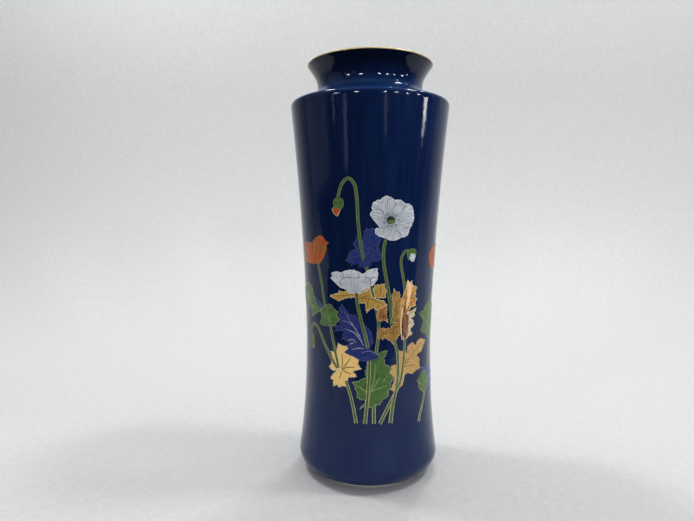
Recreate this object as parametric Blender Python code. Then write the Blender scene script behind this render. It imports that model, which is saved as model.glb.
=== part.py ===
"""A tall waisted porcelain flower vase: cobalt glaze, gilded lip, and poppies fired on twice around it.

Modelled in metres, +Z up, standing on its foot ring with the origin under its centre.
Sizes below are in millimetres, and MM turns them into metres when a mesh is written.
"""

from math import cos, floor, hypot, pi, sin

import bmesh
import bpy
from mathutils import Vector

MM = 0.001

# Driving dimensions of the vase.
HEIGHT = 255.0
FOOT_RADIUS = 35.4
BASE_RADIUS = 44.6
BASE_HEIGHT = 12.5
WAIST_RADIUS = 40.05
WAIST_HEIGHT = 86.0
SHOULDER_RADIUS = 49.2
SHOULDER_HEIGHT = 227.0
NECK_RADIUS = 32.75
RIM_RADIUS = 38.9

# Walls and coats.
WALL = 4.0
COAT = 0.5
GAP = 0.1
FLOOR_TOP = 8.5
RECESS_DEPTH = 3.2
FOOT_RING_INNER = 30.5
GLAZE_START = 1.2
LIP_WIDTH = 3.4
GILT_DEPTH = 1.4
GILT = 0.25

# The revolved shapes and the decoration share these facets, so that their faces stay parallel.
SEGMENTS = 40
FACET = 2 * pi / SEGMENTS

# The decoration: a panel fired on at the front and again at the back.
PANEL_FOOT = 42.2
PANEL_RADIUS = 42.0
PRINT = 0.2
LAYER = PRINT + GAP
FRONT = -pi / 2
PANELS = {"front": FRONT, "back": FRONT + pi}

COLOURS = {
    "porcelain": ((0.86, 0.85, 0.82, 1), 0.35, 0.0),
    "cobalt": ((0.012, 0.028, 0.105, 1), 0.08, 0.0),
    "gold": ((0.83, 0.56, 0.20, 1), 0.22, 1.0),
    "white": ((0.70, 0.72, 0.78, 1), 0.30, 0.0),
    "green": ((0.10, 0.22, 0.07, 1), 0.30, 0.0),
    "orange": ((0.62, 0.13, 0.02, 1), 0.30, 0.0),
    "violet": ((0.06, 0.07, 0.28, 1), 0.30, 0.0),
}


def clear_scene():
    for obj in list(bpy.data.objects):
        bpy.data.objects.remove(obj, do_unlink=True)


def make_materials():
    made = {}
    for name, (colour, roughness, metallic) in COLOURS.items():
        material = bpy.data.materials.new(name)
        material.use_nodes = True
        shader = material.node_tree.nodes["Principled BSDF"]
        shader.inputs["Base Color"].default_value = colour
        shader.inputs["Roughness"].default_value = roughness
        shader.inputs["Metallic"].default_value = metallic
        made[name] = material
    return made


def bezier(start, first, second, end, count):
    """Points along a cubic curve, without its first one."""
    points = []
    for step in range(1, count + 1):
        t = step / count
        u = 1 - t
        points.append(
            tuple(
                u**3 * a + 3 * u * u * t * b + 3 * u * t * t * c + t**3 * d
                for a, b, c, d in zip(start, first, second, end)
            )
        )
    return points


def wall_radius(z):
    """Outer radius of the long waisted wall at height z."""
    if z > WAIST_HEIGHT:
        rise = (z - WAIST_HEIGHT) / (SHOULDER_HEIGHT - WAIST_HEIGHT)
        return WAIST_RADIUS + (SHOULDER_RADIUS - WAIST_RADIUS) * rise**1.59
    drop = (WAIST_HEIGHT - z) / (WAIST_HEIGHT - BASE_HEIGHT)
    return WAIST_RADIUS + (BASE_RADIUS - WAIST_RADIUS) * drop**2.35


def outer_profile():
    """(radius, height) of the glazed outside, from the foot up to the lip's outer edge."""
    points = [(FOOT_RADIUS, GLAZE_START), (FOOT_RADIUS + 0.1, 1.9)]
    toe = (FOOT_RADIUS + 1.0, 2.3)
    points.append(toe)
    points += bezier(toe, (41.6, 3.0), (BASE_RADIUS, 7.4), (BASE_RADIUS, BASE_HEIGHT), 4)
    points += [(wall_radius(z), z) for z in (24, 38, 58, 86, 115, 145, 175, 203)]
    edge = (SHOULDER_RADIUS, SHOULDER_HEIGHT)
    turn = (47.8, 231.3)
    cove = (35.4, 235.6)
    points.append(edge)
    points += bezier(edge, (49.5, 229.4), (49.3, 230.6), turn, 3)
    points += bezier(turn, (44.2, 233.0), (38.4, 233.6), cove, 2)
    points += bezier(cove, (33.4, 237.2), (NECK_RADIUS, 239.0), (NECK_RADIUS, 241.6), 2)
    points += bezier((NECK_RADIUS, 241.6), (32.8, 246.2), (35.4, 249.4), (38.1, 253.3), 3)
    return points


def inner_profile():
    """(radius, height) of the hollow, from the lip down to the middle of the floor."""
    lip = (RIM_RADIUS - LIP_WIDTH + 0.2, HEIGHT - 1.0)
    throat = (NECK_RADIUS - WALL, 240.0)
    points = [lip]
    points += bezier(lip, (32.6, 250.4), (28.7, 246.0), throat, 3)
    points += bezier(throat, (28.8, 231.5), (44.0, 229.5), (44.2, 221.0), 4)
    points += [(wall_radius(z) - COAT - GAP - WALL, z) for z in (175, 130, 86, 50)]
    points += bezier((36.0, 24.0), (36.0, 12.0), (33.0, FLOOR_TOP), (25.0, FLOOR_TOP), 3)
    points.append((0.0, FLOOR_TOP))
    return points


def offset(points, distance):
    """The same line moved to the side by a distance, towards the axis where it is positive."""
    moved = []
    for i, (r, z) in enumerate(points):
        before = points[max(i - 1, 0)]
        after = points[min(i + 1, len(points) - 1)]
        normals = []
        for a, b in ((before, (r, z)), ((r, z), after)):
            length = hypot(b[0] - a[0], b[1] - a[1])
            if length > 0:
                normals.append(((a[1] - b[1]) / length, (b[0] - a[0]) / length))
        nr = sum(n[0] for n in normals)
        nz = sum(n[1] for n in normals)
        scale = distance * len(normals) / (nr * nr + nz * nz)
        moved.append((r + nr * scale, z + nz * scale))
    return moved


def new_object(name, mesh_builder, material):
    mesh = bpy.data.meshes.new(name)
    bmesh.ops.recalc_face_normals(mesh_builder, faces=mesh_builder.faces)
    mesh_builder.to_mesh(mesh)
    mesh_builder.free()
    obj = bpy.data.objects.new(name, mesh)
    bpy.context.collection.objects.link(obj)
    mesh.materials.append(material)
    return obj


def revolve(name, outline, material):
    """A solid of revolution about Z from its outline, a closed loop unless both ends are on the axis."""
    builder = bmesh.new()
    verts = [builder.verts.new((r * MM, 0, z * MM)) for r, z in outline]
    edges = [builder.edges.new(pair) for pair in zip(verts, verts[1:])]
    if outline[0][0] > 0:
        edges.append(builder.edges.new((verts[-1], verts[0])))
    bmesh.ops.spin(
        builder,
        geom=verts + edges,
        cent=(0, 0, 0),
        axis=(0, 0, 1),
        angle=2 * pi,
        steps=SEGMENTS,
        use_merge=True,
    )
    bmesh.ops.remove_doubles(builder, verts=builder.verts, dist=1e-7)
    obj = new_object(name, builder, material)
    obj.data.shade_smooth()
    obj.data.set_sharp_from_angle(angle=0.7)
    return obj


def make_body(material):
    """The white fired porcelain: foot ring, recessed underside, hollow wall, neck and lip."""
    outside = [point for point in offset(outer_profile(), COAT + GAP) if point[1] > GLAZE_START + 0.3]
    foot = FOOT_RADIUS - COAT - GAP
    lip = RIM_RADIUS - GILT - GAP
    top = HEIGHT - GILT - GAP
    recess = FOOT_RING_INNER - 1.1
    underside = [(0.0, RECESS_DEPTH), (recess, RECESS_DEPTH), (FOOT_RING_INNER, 0.0), (foot, 0.0)]
    mouth = [(lip, top - 0.5), (lip - 0.5, top), (lip - 2.2, top)]
    return revolve("porcelain_body", underside + outside + mouth + inner_profile(), material)


def make_glaze(material):
    """The cobalt coat over the outside, from just above the bare foot up to the gilded lip."""
    outside = outer_profile()
    inside = offset(outside, COAT)
    return revolve("cobalt_glaze", outside + inside[::-1], material)


def make_gilding(material):
    """The gold band that wraps over the lip."""
    low = HEIGHT - GILT_DEPTH
    wide = RIM_RADIUS
    narrow = RIM_RADIUS - LIP_WIDTH
    section = [
        (wide - 0.35, low),
        (wide, HEIGHT - 0.6),
        (wide - 0.5, HEIGHT),
        (narrow + 0.5, HEIGHT),
        (narrow - 0.15, HEIGHT - 0.5),
        (narrow - 0.45, low + 0.2),
        (narrow - 0.15, low + 0.2),
        (narrow + 0.3, HEIGHT - 0.4),
        (narrow + 0.6, HEIGHT - GILT),
        (wide - 0.6, HEIGHT - GILT),
        (wide - GILT, HEIGHT - 0.7),
        (wide - 0.35 - GILT, low),
    ]
    return revolve("rim_gilding", section, material)


# Outlines of the printed shapes, in millimetres across from the panel's axis and up from its stems' feet.
WHITE_POPPY = [
    (0.3, 121), (2.1, 123), (1.5, 126), (5.2, 129), (10, 130.6), (14, 129), (17.5, 128.6), (20.5, 127),
    (25.4, 124.8), (26.4, 120.5), (25.4, 115), (22.6, 111), (21, 108.2), (17, 106.3), (12, 105.3),
    (8.4, 107.6), (3, 110.8), (5.3, 112.8),
]
SIDE_POPPY = [
    (-24, 84), (-22.8, 86.6), (-19.3, 88), (-16.3, 86.8), (-13.5, 88.7), (-10, 89.4), (-5.5, 88.2),
    (-3.4, 86), (0, 88.7), (4.8, 89.8), (5.4, 86.5), (4, 82.5), (1.5, 79.8), (-2.5, 76.2), (-8, 75),
    (-14, 78), (-18.4, 79.2), (-21, 82.5),
]
SIDE_GOLD_LEAF = [
    (-24.2, 72.8), (-18.2, 76.2), (-13, 76.5), (-6, 78.5), (0, 78.5), (2.2, 74.8), (3.2, 79), (6, 80.2),
    (9.4, 79.4), (9.6, 73.6), (4.6, 73.2), (5, 71.8), (10.2, 68.8), (5.3, 66), (3, 67.5), (-1.5, 65.2),
    (-3.5, 70.2), (-8, 74.2), (-19, 71.3),
]
UPPER_BLUE_LEAF = [
    (-13.5, 93.8), (-10.8, 98.4), (-6.6, 100), (-8.2, 102.4), (-7.3, 108.2), (-4.4, 104), (-2, 111.4),
    (1, 111.8), (6.2, 106), (5.6, 101), (7, 96), (2.5, 94.6), (-5.8, 90.2), (-6.6, 92.4), (-11.6, 91.8),
]
BIG_GOLD_LEAF = [
    (5.8, 52), (7, 54.9), (13.4, 55), (13.4, 58.2), (5.5, 61.5), (9.3, 68), (14.5, 62), (15, 77), (18, 74.5),
    (20, 71.5), (24, 81.5), (26.8, 82), (31.2, 77), (28.6, 72), (31.4, 70.4), (26.4, 65.6), (31, 65.4),
    (25.8, 60), (29.4, 57.2), (25.8, 55), (28.3, 51.5), (22, 47.4), (20, 52.8), (15.2, 47), (11.5, 50),
    (7, 49.4),
]
LOWER_BLUE_LEAF = [
    (-17.3, 68), (-11.3, 61), (-8.6, 63.4), (-5, 56.8), (0.8, 54), (2, 48.5), (0.2, 43), (6, 39), (2, 37),
    (-4, 36), (-8, 38.8), (-13.6, 40.4), (-11.4, 46.4), (-15.7, 49), (-21, 53), (-17, 57), (-18.6, 61),
    (-16.6, 63),
]
LEFT_GOLD_LEAF = [
    (-25, 39.6), (-21, 40), (-19.2, 45), (-13.8, 43), (-14.6, 40.2), (-6.3, 36.5), (-5, 32), (-9, 29.8),
    (-8.6, 27.4), (-13, 25), (-14.5, 22.2), (-22, 21.3), (-24, 24), (-20.4, 29.2), (-25.2, 31.8),
    (-22.4, 35),
]
CENTRE_GREEN_LEAF = [
    (-9.8, 23.7), (-1, 26), (-0.3, 37), (5, 39), (11, 41.7), (9.6, 34), (13, 32.5), (8.8, 25), (12, 27.2),
    (15.3, 24.6), (11.5, 16.5), (9.8, 13.2), (4.2, 12.4), (3, 10), (-1.6, 10), (-4.8, 9.4), (-2.2, 14.4),
    (-4.6, 14.2), (-7, 20),
]
RIGHT_GOLD_LEAF = [
    (20, 41.5), (25.4, 39.6), (29.3, 45), (32, 42.8), (35, 46), (39, 47), (43.3, 45.5), (39, 40.5),
    (33, 38), (36, 34.8), (36.2, 30), (29.8, 27.8), (24, 29.5), (19.4, 20), (15, 20.5), (17, 26.6),
    (13.2, 30.3), (19, 33.6),
]
ORANGE_POPPY = [
    (-25.6, 103.6), (-28.6, 105.4), (-31.5, 107.8), (-36, 105), (-39.4, 103.2), (-45, 105), (-50, 100.4),
    (-51, 96), (-46, 91.6), (-34, 90.9), (-29.6, 93.2), (-27, 98.4),
]
FAR_GREEN_LEAF = [
    (-34.8, 62.8), (-43.8, 59.2), (-44.6, 64), (-54, 65), (-60, 71), (-57, 76), (-45, 77.6), (-40.6, 70),
]
FAR_ORANGE_POPPY = [
    (-88, 98.2), (-83, 102.6), (-75, 104), (-66, 104), (-64, 98), (-68, 92), (-77, 90.4), (-86, 95),
]
FAR_BLUE_LEAF = [
    (-94, 32.6), (-84, 30.4), (-73, 25), (-71, 18), (-79, 15), (-88, 20.6), (-86, 26),
]
NODDING_BUD_TIP = [(-20.8, 125.4), (-21, 122), (-18.6, 119.6), (-15.8, 122.8), (-15.4, 125.6)]
WHITE_BUD_PETALS = [(24.4, 97.6), (24.8, 95), (27, 93.3), (29, 95.4), (29.4, 98.4)]

# Stems, as (across, up, width). A calyx, bud or leaf on one is a stretch where it widens.
NODDING_BUD_STEM = [
    (-18.2, 124.4, 4.6), (-17.6, 127, 5.8), (-17.1, 129.6, 3.6), (-16.4, 132, 1.7), (-14.6, 137.4, 1.7),
    (-11, 140.3, 1.7), (-8, 137.4, 1.7), (-6.8, 130, 1.7), (-6, 117, 1.7), (-4.8, 105, 1.7), (-2.8, 95, 1.7),
    (-1, 89, 1.7), (3, 73, 1.7), (4.8, 66, 1.7), (6, 59, 1.9), (5.6, 48, 1.9), (4.6, 40, 1.9), (3, 0, 2.2),
]
WHITE_BUD_STEM = [
    (27.2, 97.2, 4.4), (27.2, 99.6, 5.4), (25.4, 101.2, 3.4), (22.8, 100.9, 1.7), (19.8, 98, 1.7),
    (19.4, 92, 1.7), (21.4, 85, 1.7), (23.4, 76, 1.7), (23.6, 50, 1.7), (23, 40, 1.8), (20.2, 24, 2),
    (15, 12, 2), (7.2, 0, 2),
]
WHITE_POPPY_STEM = [
    (9, 106, 1.7), (7.6, 100, 1.8), (8.8, 88, 1.9), (11.5, 75, 2), (13.2, 64, 2), (13.7, 57, 2.2),
]
LOWER_POPPY_STEM = [(15.6, 46, 1.6), (17.8, 37, 1.8), (18, 28, 2), (16, 14, 2.2), (13.6, 0, 2.4)]
SIDE_POPPY_STEM = [(-7.1, 74.6, 2), (-6.4, 67, 2), (-4.2, 58, 2), (-1.8, 50, 2), (-0.2, 43.6, 2)]
CENTRE_STEM = [(0.8, 35.8, 2), (0.2, 24, 2), (-0.8, 10, 2), (-2, 0, 2.2)]
LEFT_GOLD_LEAF_STEM = [(-13.8, 24, 1.8), (-11, 15, 1.8), (-9, 7, 1.9), (-7, 0, 2)]
ORANGE_POPPY_STEM = [(-34.2, 92, 2), (-33.2, 86, 1.8), (-31.6, 79, 1.8), (-30.4, 72, 1.8), (-29.4, 66, 1.8)]
POINTED_GREEN_LEAF = [
    (-18.8, 30.4, 1.6), (-22.4, 42.6, 1.7), (-25.6, 55.4, 1.8), (-26, 56.6, 11), (-26.4, 60.4, 12.6),
    (-26.8, 64.4, 9.6), (-27, 67, 2),
]
DROOPING_BUD = [
    (-42.2, 39.8, 2.4), (-42.6, 42, 5), (-43, 45, 5.2), (-43.7, 47.6, 3), (-44.1, 50, 1.8),
    (-43.4, 52.8, 1.8), (-41, 54.6, 1.8), (-37.6, 54, 1.8), (-33.6, 50.2, 1.8), (-29, 44.4, 1.8),
    (-24, 37.4, 1.8), (-19.4, 31, 1.8),
]
LOBED_LEAF = [
    (-83, 31, 1.9), (-82, 46.6, 1.9), (-82, 48.6, 8), (-82.4, 54, 17), (-83.6, 60, 18), (-83, 65, 16),
    (-81.6, 68.4, 3), (-79.6, 74, 1.9), (-76, 91, 1.9),
]
ROUND_LEAF = [
    (-98, 0.4, 2.2), (-95, 8, 2), (-91.4, 14, 2), (-89, 18.4, 2), (-89.2, 20, 9), (-90.4, 23.4, 12),
    (-92, 27, 3),
]

# Every printed shape: its name, its outline or stem, its colour, and how many prints lie under it.
OUTLINES = [
    ("white_poppy", WHITE_POPPY, "white", 2),
    ("side_poppy", SIDE_POPPY, "white", 3),
    ("side_gold_leaf", SIDE_GOLD_LEAF, "gold", 2),
    ("upper_blue_leaf", UPPER_BLUE_LEAF, "violet", 0),
    ("big_gold_leaf", BIG_GOLD_LEAF, "gold", 2),
    ("lower_blue_leaf", LOWER_BLUE_LEAF, "violet", 3),
    ("left_gold_leaf", LEFT_GOLD_LEAF, "gold", 0),
    ("centre_green_leaf", CENTRE_GREEN_LEAF, "green", 2),
    ("right_gold_leaf", RIGHT_GOLD_LEAF, "gold", 0),
    ("orange_poppy", ORANGE_POPPY, "orange", 1),
    ("far_green_leaf", FAR_GREEN_LEAF, "green", 1),
    ("far_orange_poppy", FAR_ORANGE_POPPY, "orange", 1),
    ("far_blue_leaf", FAR_BLUE_LEAF, "violet", 1),
    ("nodding_bud_tip", NODDING_BUD_TIP, "orange", 0),
    ("white_bud_petals", WHITE_BUD_PETALS, "white", 0),
]
STEMS = [
    ("nodding_bud_stem", NODDING_BUD_STEM, 1),
    ("white_bud_stem", WHITE_BUD_STEM, 1),
    ("white_poppy_stem", WHITE_POPPY_STEM, 3),
    ("lower_poppy_stem", LOWER_POPPY_STEM, 3),
    ("side_poppy_stem", SIDE_POPPY_STEM, 4),
    ("centre_stem", CENTRE_STEM, 3),
    ("left_gold_leaf_stem", LEFT_GOLD_LEAF_STEM, 1),
    ("orange_poppy_stem", ORANGE_POPPY_STEM, 0),
    ("pointed_green_leaf", POINTED_GREEN_LEAF, 1),
    ("drooping_bud", DROOPING_BUD, 2),
    ("lobed_leaf", LOBED_LEAF, 0),
    ("round_leaf", ROUND_LEAF, 2),
]
POPPY_CENTRE = (12.0, 117.0)
POPPY_CENTRE_RADIUS = 2.3


def radius_at(z, profile):
    """Radius of a broken-line profile at height z."""
    for (r0, z0), (r1, z1) in zip(profile, profile[1:]):
        if z0 <= z <= z1:
            return r0 + (r1 - r0) * (z - z0) / (z1 - z0)
    raise ValueError(f"no wall at height {z}")


def wrap(across, up, proud, turn, profile):
    """A point of the panel laid on the facets of the glaze, standing proud of them, in metres."""
    z = PANEL_FOOT + up
    angle = turn + across / PANEL_RADIUS
    middle = (floor(angle / FACET + 1e-6) + 0.5) * FACET
    apothem = radius_at(z, profile) * cos(FACET / 2) + proud
    radius = apothem / cos(angle - middle)
    return Vector((radius * cos(angle), radius * sin(angle), z)) * MM


def circle(centre, radius, corners):
    turns = [2 * pi * k / corners for k in range(corners)]
    return [(centre[0] + radius * cos(turn), centre[1] + radius * sin(turn)) for turn in turns]


def flat_outline(points):
    builder = bmesh.new()
    builder.faces.new([builder.verts.new((x, y, 0)) for x, y in points])
    return builder


def flat_stem(route):
    """A strip along the route, as wide as its points say and cut square at its ends."""
    builder = bmesh.new()
    pairs = []
    for i, (x, y, width) in enumerate(route):
        before = Vector(route[max(i - 1, 0)][:2])
        after = Vector(route[min(i + 1, len(route) - 1)][:2])
        along = (after - before).normalized()
        side = Vector((-along.y, along.x)) * width / 2
        pairs.append([builder.verts.new((x + side.x * way, y + side.y * way, 0)) for way in (-1, 1)])
    for (a, b), (c, d) in zip(pairs, pairs[1:]):
        builder.faces.new((a, c, d, b))
    return builder


def cut(builder, point, normal):
    geometry = list(builder.verts) + list(builder.edges) + list(builder.faces)
    bmesh.ops.bisect_plane(builder, geom=geometry, dist=1e-4, plane_co=point, plane_no=normal)


def print_shape(name, builder, material, layer, turn, profile):
    """Cuts a flat shape along the glaze's facets, lays it on them and gives it its thickness."""
    across = [vert.co.x for vert in builder.verts]
    step = FACET * PANEL_RADIUS
    for k in range(floor(min(across) / step), floor(max(across) / step) + 2):
        cut(builder, (k * step, 0, 0), (1, 0, 0))
    for _, z in profile:
        cut(builder, (0, z - PANEL_FOOT, 0), (0, 1, 0))
    low = GAP + layer * LAYER
    flat = list(builder.faces)
    grown = bmesh.ops.extrude_face_region(builder, geom=flat, use_keep_orig=True)["geom"]
    top = {item for item in grown if isinstance(item, bmesh.types.BMVert)}
    for vert in builder.verts:
        proud = low + PRINT if vert in top else low
        vert.co = wrap(vert.co.x, vert.co.y, proud, turn, profile)
    return new_object(name, builder, material)


def make_decoration(materials):
    profile = [point for point in outer_profile() if BASE_HEIGHT < point[1] <= SHOULDER_HEIGHT]
    ring = circle(POPPY_CENTRE, POPPY_CENTRE_RADIUS, 10)
    for side, turn in PANELS.items():
        for name, points, colour, layer in OUTLINES:
            print_shape(f"{side}_{name}", flat_outline(points), materials[colour], layer, turn, profile)
        for name, route, layer in STEMS:
            print_shape(f"{side}_{name}", flat_stem(route), materials["green"], layer, turn, profile)
        print_shape(f"{side}_white_poppy_centre", flat_outline(ring), materials["green"], 3, turn, profile)


def main():
    clear_scene()
    materials = make_materials()
    make_body(materials["porcelain"])
    make_glaze(materials["cobalt"])
    make_gilding(materials["gold"])
    make_decoration(materials)


main()
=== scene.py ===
"""The looks of a tall porcelain flower vase: cobalt glaze, gilded lip and fired-on poppies.

Lengths on the vase are in the drawing's millimetres, and MM turns them into the frame's metres.
The studio round it is in metres.
"""

from math import ceil, cos, pi, radians, sin

import bmesh
import bpy
import numpy as np
from mathutils import Matrix, Vector


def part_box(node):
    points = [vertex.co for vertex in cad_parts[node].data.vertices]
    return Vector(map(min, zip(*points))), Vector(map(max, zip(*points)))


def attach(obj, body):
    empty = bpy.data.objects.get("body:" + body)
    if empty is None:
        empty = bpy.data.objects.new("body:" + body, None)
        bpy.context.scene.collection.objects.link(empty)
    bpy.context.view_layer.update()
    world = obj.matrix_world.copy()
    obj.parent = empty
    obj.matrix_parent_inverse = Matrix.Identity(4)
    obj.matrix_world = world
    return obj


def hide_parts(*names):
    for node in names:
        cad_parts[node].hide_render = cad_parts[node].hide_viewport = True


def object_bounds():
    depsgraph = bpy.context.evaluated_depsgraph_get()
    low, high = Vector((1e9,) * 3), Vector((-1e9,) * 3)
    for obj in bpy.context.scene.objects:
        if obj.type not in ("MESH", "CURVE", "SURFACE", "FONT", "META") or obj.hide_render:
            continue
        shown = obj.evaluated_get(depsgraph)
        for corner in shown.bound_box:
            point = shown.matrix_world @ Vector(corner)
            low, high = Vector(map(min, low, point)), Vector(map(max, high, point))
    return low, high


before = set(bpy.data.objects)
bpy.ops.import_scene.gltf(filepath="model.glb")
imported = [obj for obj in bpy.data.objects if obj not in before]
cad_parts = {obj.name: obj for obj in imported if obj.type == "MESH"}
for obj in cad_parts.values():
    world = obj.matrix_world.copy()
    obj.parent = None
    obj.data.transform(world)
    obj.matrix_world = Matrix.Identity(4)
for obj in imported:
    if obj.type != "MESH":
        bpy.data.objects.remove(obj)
CAD_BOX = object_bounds()

# Driving dimensions, as drawn. The frame's height gives the scale.
HEIGHT = 255.0
MM = (CAD_BOX[1].z - CAD_BOX[0].z) / HEIGHT
RIM_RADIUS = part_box("rim_gilding")[1].x / MM
SHOULDER_SWELL = 0.12
SHOULDER_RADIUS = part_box("cobalt_glaze")[1].x / MM - SHOULDER_SWELL
FOOT_RADIUS = 35.4
BASE_RADIUS = 44.6
BASE_HEIGHT = 12.5
WAIST_RADIUS = 40.05
WAIST_HEIGHT = 86.0
SHOULDER_HEIGHT = 227.0
SHOULDER_TURN = (47.8, 231.3)
SHOULDER_CURVE = 1.59
BASE_CURVE = 2.35
TOE = (FOOT_RADIUS + 1.0, 2.3)
NECK_COVE = (35.4, 235.6)
NECK_RADIUS = 32.75
NECK_HEIGHT = 241.6
LIP_UNDERSIDE = (38.1, 253.3)
WALL = 4.0
COAT = 0.6
FLOOR_TOP = 8.5
RECESS_DEPTH = 3.2
FOOT_RING_INNER = 30.5
GLAZE_START = 1.2
LIP_WIDTH = 3.4
GILT_DEPTH = 0.9
GILT = 0.25
AROUND = 288

# The prints lie on the wall: across is measured at PRINT_RADIUS, and up is the height above the table
# before the film was lifted a little, and bowed down towards its top, foot and sides, as it was smoothed on.
PRINT_RADIUS = 42.0
PRINT_LIFT = 2.65
PRINT_BOW = 0.95
PRINT_SAG = 1.0
PRINT_MIDDLE = 130
PRINT_HALF_HEIGHT = 90
PRINT_HALF_WIDTH = 45
FRONT = -pi / 2

# Films, lines and stems: their thickness, and the cells that a film is cut into to follow the wall.
CELL = 1.0
FILM = 0.05
FILM_EDGE = 0.35
FILM_SWELL = 0.35
LAYER = 0.05
LINE_RISE = 0.03
STEM_RISE = 0.02
STEM_LINE = 0.42
STEM_LINE_INSET = 0.4
RIBBON_FOOT = 0.55
DOT_SIDES = 10
UNDER = 0.06

# The edges of petals and leaves.
SCALLOP_STEP = 0.45
RUFFLE = 0.4
RUFFLE_PITCH = 2.6
LEAF_CORNER = 0.35
LEAF_TOOTH = 0.85
LEAF_HOLLOW = -0.05
SPIKE = 0.6
SHARP_TURN = 0.6
TOOTH_PITCH = 1.7
STEM_CORNER = 2.0


# Curves -------------------------------------------------------------------------------------------


def bezier(start, first, second, end, count):
    """Points along a cubic curve, without its first one."""
    points = []
    for step in range(1, count + 1):
        t = step / count
        u = 1 - t
        weights = (u**3, 3 * u * u * t, 3 * u * t * t, t**3)
        corners = (start, first, second, end)
        points.append(tuple(sum(w * p[k] for w, p in zip(weights, corners)) for k in (0, 1)))
    return points


def through(points, closed=False, corner=0.9, pitch=0.45, tooth=0.0, bulge=0.0):
    """A smooth line through the points, sharp where it turns by more than corner radians.

    As a leaf's edge, a closed line has small teeth that lean towards its tips, and a bulge below 0 bows it
    in between its points.
    """
    count = len(points)
    at = [Vector(p[:2]) for p in points]
    widths = [p[2:] for p in points]
    line = []
    outward = -1 if sum(p.cross(at[i - 1]) for i, p in enumerate(at)) > 0 else 1
    for i in range(count if closed else count - 1):
        a, b = at[i], at[(i + 1) % count]
        before = at[i - 1] if closed or i > 0 else a
        after = at[(i + 2) % count] if closed or i + 2 < count else b
        chord = b - a
        starts = leaving(before, a, b, corner, chord.length)
        ends = leaving(after, b, a, corner, chord.length) * -1
        steps = max(1, min(8, ceil(chord.length / pitch)))
        normal = Vector((chord.y, -chord.x)).normalized() * outward
        to_tip = outward * chord.cross(after - b) > 0
        teeth = max(1, round(chord.length / TOOTH_PITCH))
        for step in range(steps):
            t = step / steps
            p = (
                a * (2 * t**3 - 3 * t * t + 1)
                + starts * (t**3 - 2 * t * t + t)
                + b * (3 * t * t - 2 * t**3)
                + ends * (t**3 - t * t)
            )
            along = (t if to_tip else 1 - t) * teeth
            if step and along < teeth - 1:
                p += normal * tooth * (along % 1)
            p += normal * bulge * chord.length * sin(pi * t)
            width = tuple(w * (1 - t) + v * t for w, v in zip(widths[i], widths[(i + 1) % count]))
            line.append((p.x, p.y) + width)
    if not closed:
        line.append(tuple(points[-1]))
    return line


def leaving(before, here, after, corner, length):
    """The curve's direction at a point, scaled to the chord that leaves it."""
    ahead = after - here
    behind = here - before
    if behind.length < 1e-6 or ahead.length < 1e-6 or behind.angle(ahead) > corner:
        return ahead
    along = ahead.normalized() + behind.normalized()
    return along.normalized() * length


# The revolved shell -------------------------------------------------------------------------------


def wall_radius(z):
    """Outer radius of the long waisted wall at height z."""
    if z > WAIST_HEIGHT:
        rise = (z - WAIST_HEIGHT) / (SHOULDER_HEIGHT - WAIST_HEIGHT)
        return WAIST_RADIUS + (SHOULDER_RADIUS - WAIST_RADIUS) * rise**SHOULDER_CURVE
    drop = (WAIST_HEIGHT - z) / (WAIST_HEIGHT - BASE_HEIGHT)
    return WAIST_RADIUS + (BASE_RADIUS - WAIST_RADIUS) * drop**BASE_CURVE


def heights(low, high, pitch):
    """Even heights between two others, without them."""
    count = ceil((high - low) / pitch)
    return [low + (high - low) * k / count for k in range(1, count)]


def outer_profile():
    """(radius, height) of the glazed outside, from the foot up to the gold band."""
    points = [(FOOT_RADIUS, GLAZE_START)]
    points += bezier(points[0], (FOOT_RADIUS + 0.1, 1.8), (FOOT_RADIUS + 0.4, 2.2), TOE, 5)
    points += bezier(TOE, (41.6, 3.0), (BASE_RADIUS, 7.4), (BASE_RADIUS, BASE_HEIGHT), 18)
    points += [(wall_radius(z), z) for z in heights(BASE_HEIGHT, SHOULDER_HEIGHT, 2.4)]
    edge = (SHOULDER_RADIUS, SHOULDER_HEIGHT)
    neck = (NECK_RADIUS, NECK_HEIGHT)
    points.append(edge)
    points += bezier(edge, (49.5, 229.4), (49.3, 230.6), SHOULDER_TURN, 12)
    points += bezier(SHOULDER_TURN, (44.2, 233.0), (38.4, 233.6), NECK_COVE, 14)
    points += bezier(NECK_COVE, (33.4, 237.2), (NECK_RADIUS, 239.0), neck, 9)
    points += bezier(neck, (32.8, 246.2), (35.4, 249.4), LIP_UNDERSIDE, 14)
    points.append((RIM_RADIUS - 0.42, HEIGHT - GILT_DEPTH - 0.05))
    return points


def inner_profile():
    """(radius, height) of the hollow, from the lip down to the middle of the floor."""
    lip = (RIM_RADIUS - LIP_WIDTH + 0.2, HEIGHT - 1.0)
    throat = (NECK_RADIUS - WALL, 240.0)
    side = WALL + COAT
    points = [lip]
    points += bezier(lip, (32.6, 250.4), (28.7, 246.0), throat, 12)
    points += bezier(throat, (28.8, 231.5), (44.0, 229.5), (44.2, 221.0), 16)
    points += [(wall_radius(z) - side, z) for z in heights(50.0, 175.0, 5.0)[::-1]]
    points += bezier((36.0, 24.0), (36.0, 12.0), (33.0, FLOOR_TOP), (25.0, FLOOR_TOP), 12)
    points += [(12.0, FLOOR_TOP), (0.0, FLOOR_TOP)]
    return points


def offset(points, distance):
    """The same line moved sideways by a distance, towards the axis where it is positive."""
    line = np.array(points)
    along = np.gradient(line, axis=0)
    along /= np.linalg.norm(along, axis=1)[:, None]
    moved = line + distance * np.stack([-along[:, 1], along[:, 0]], axis=1)
    return [tuple(p) for p in moved]


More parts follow.
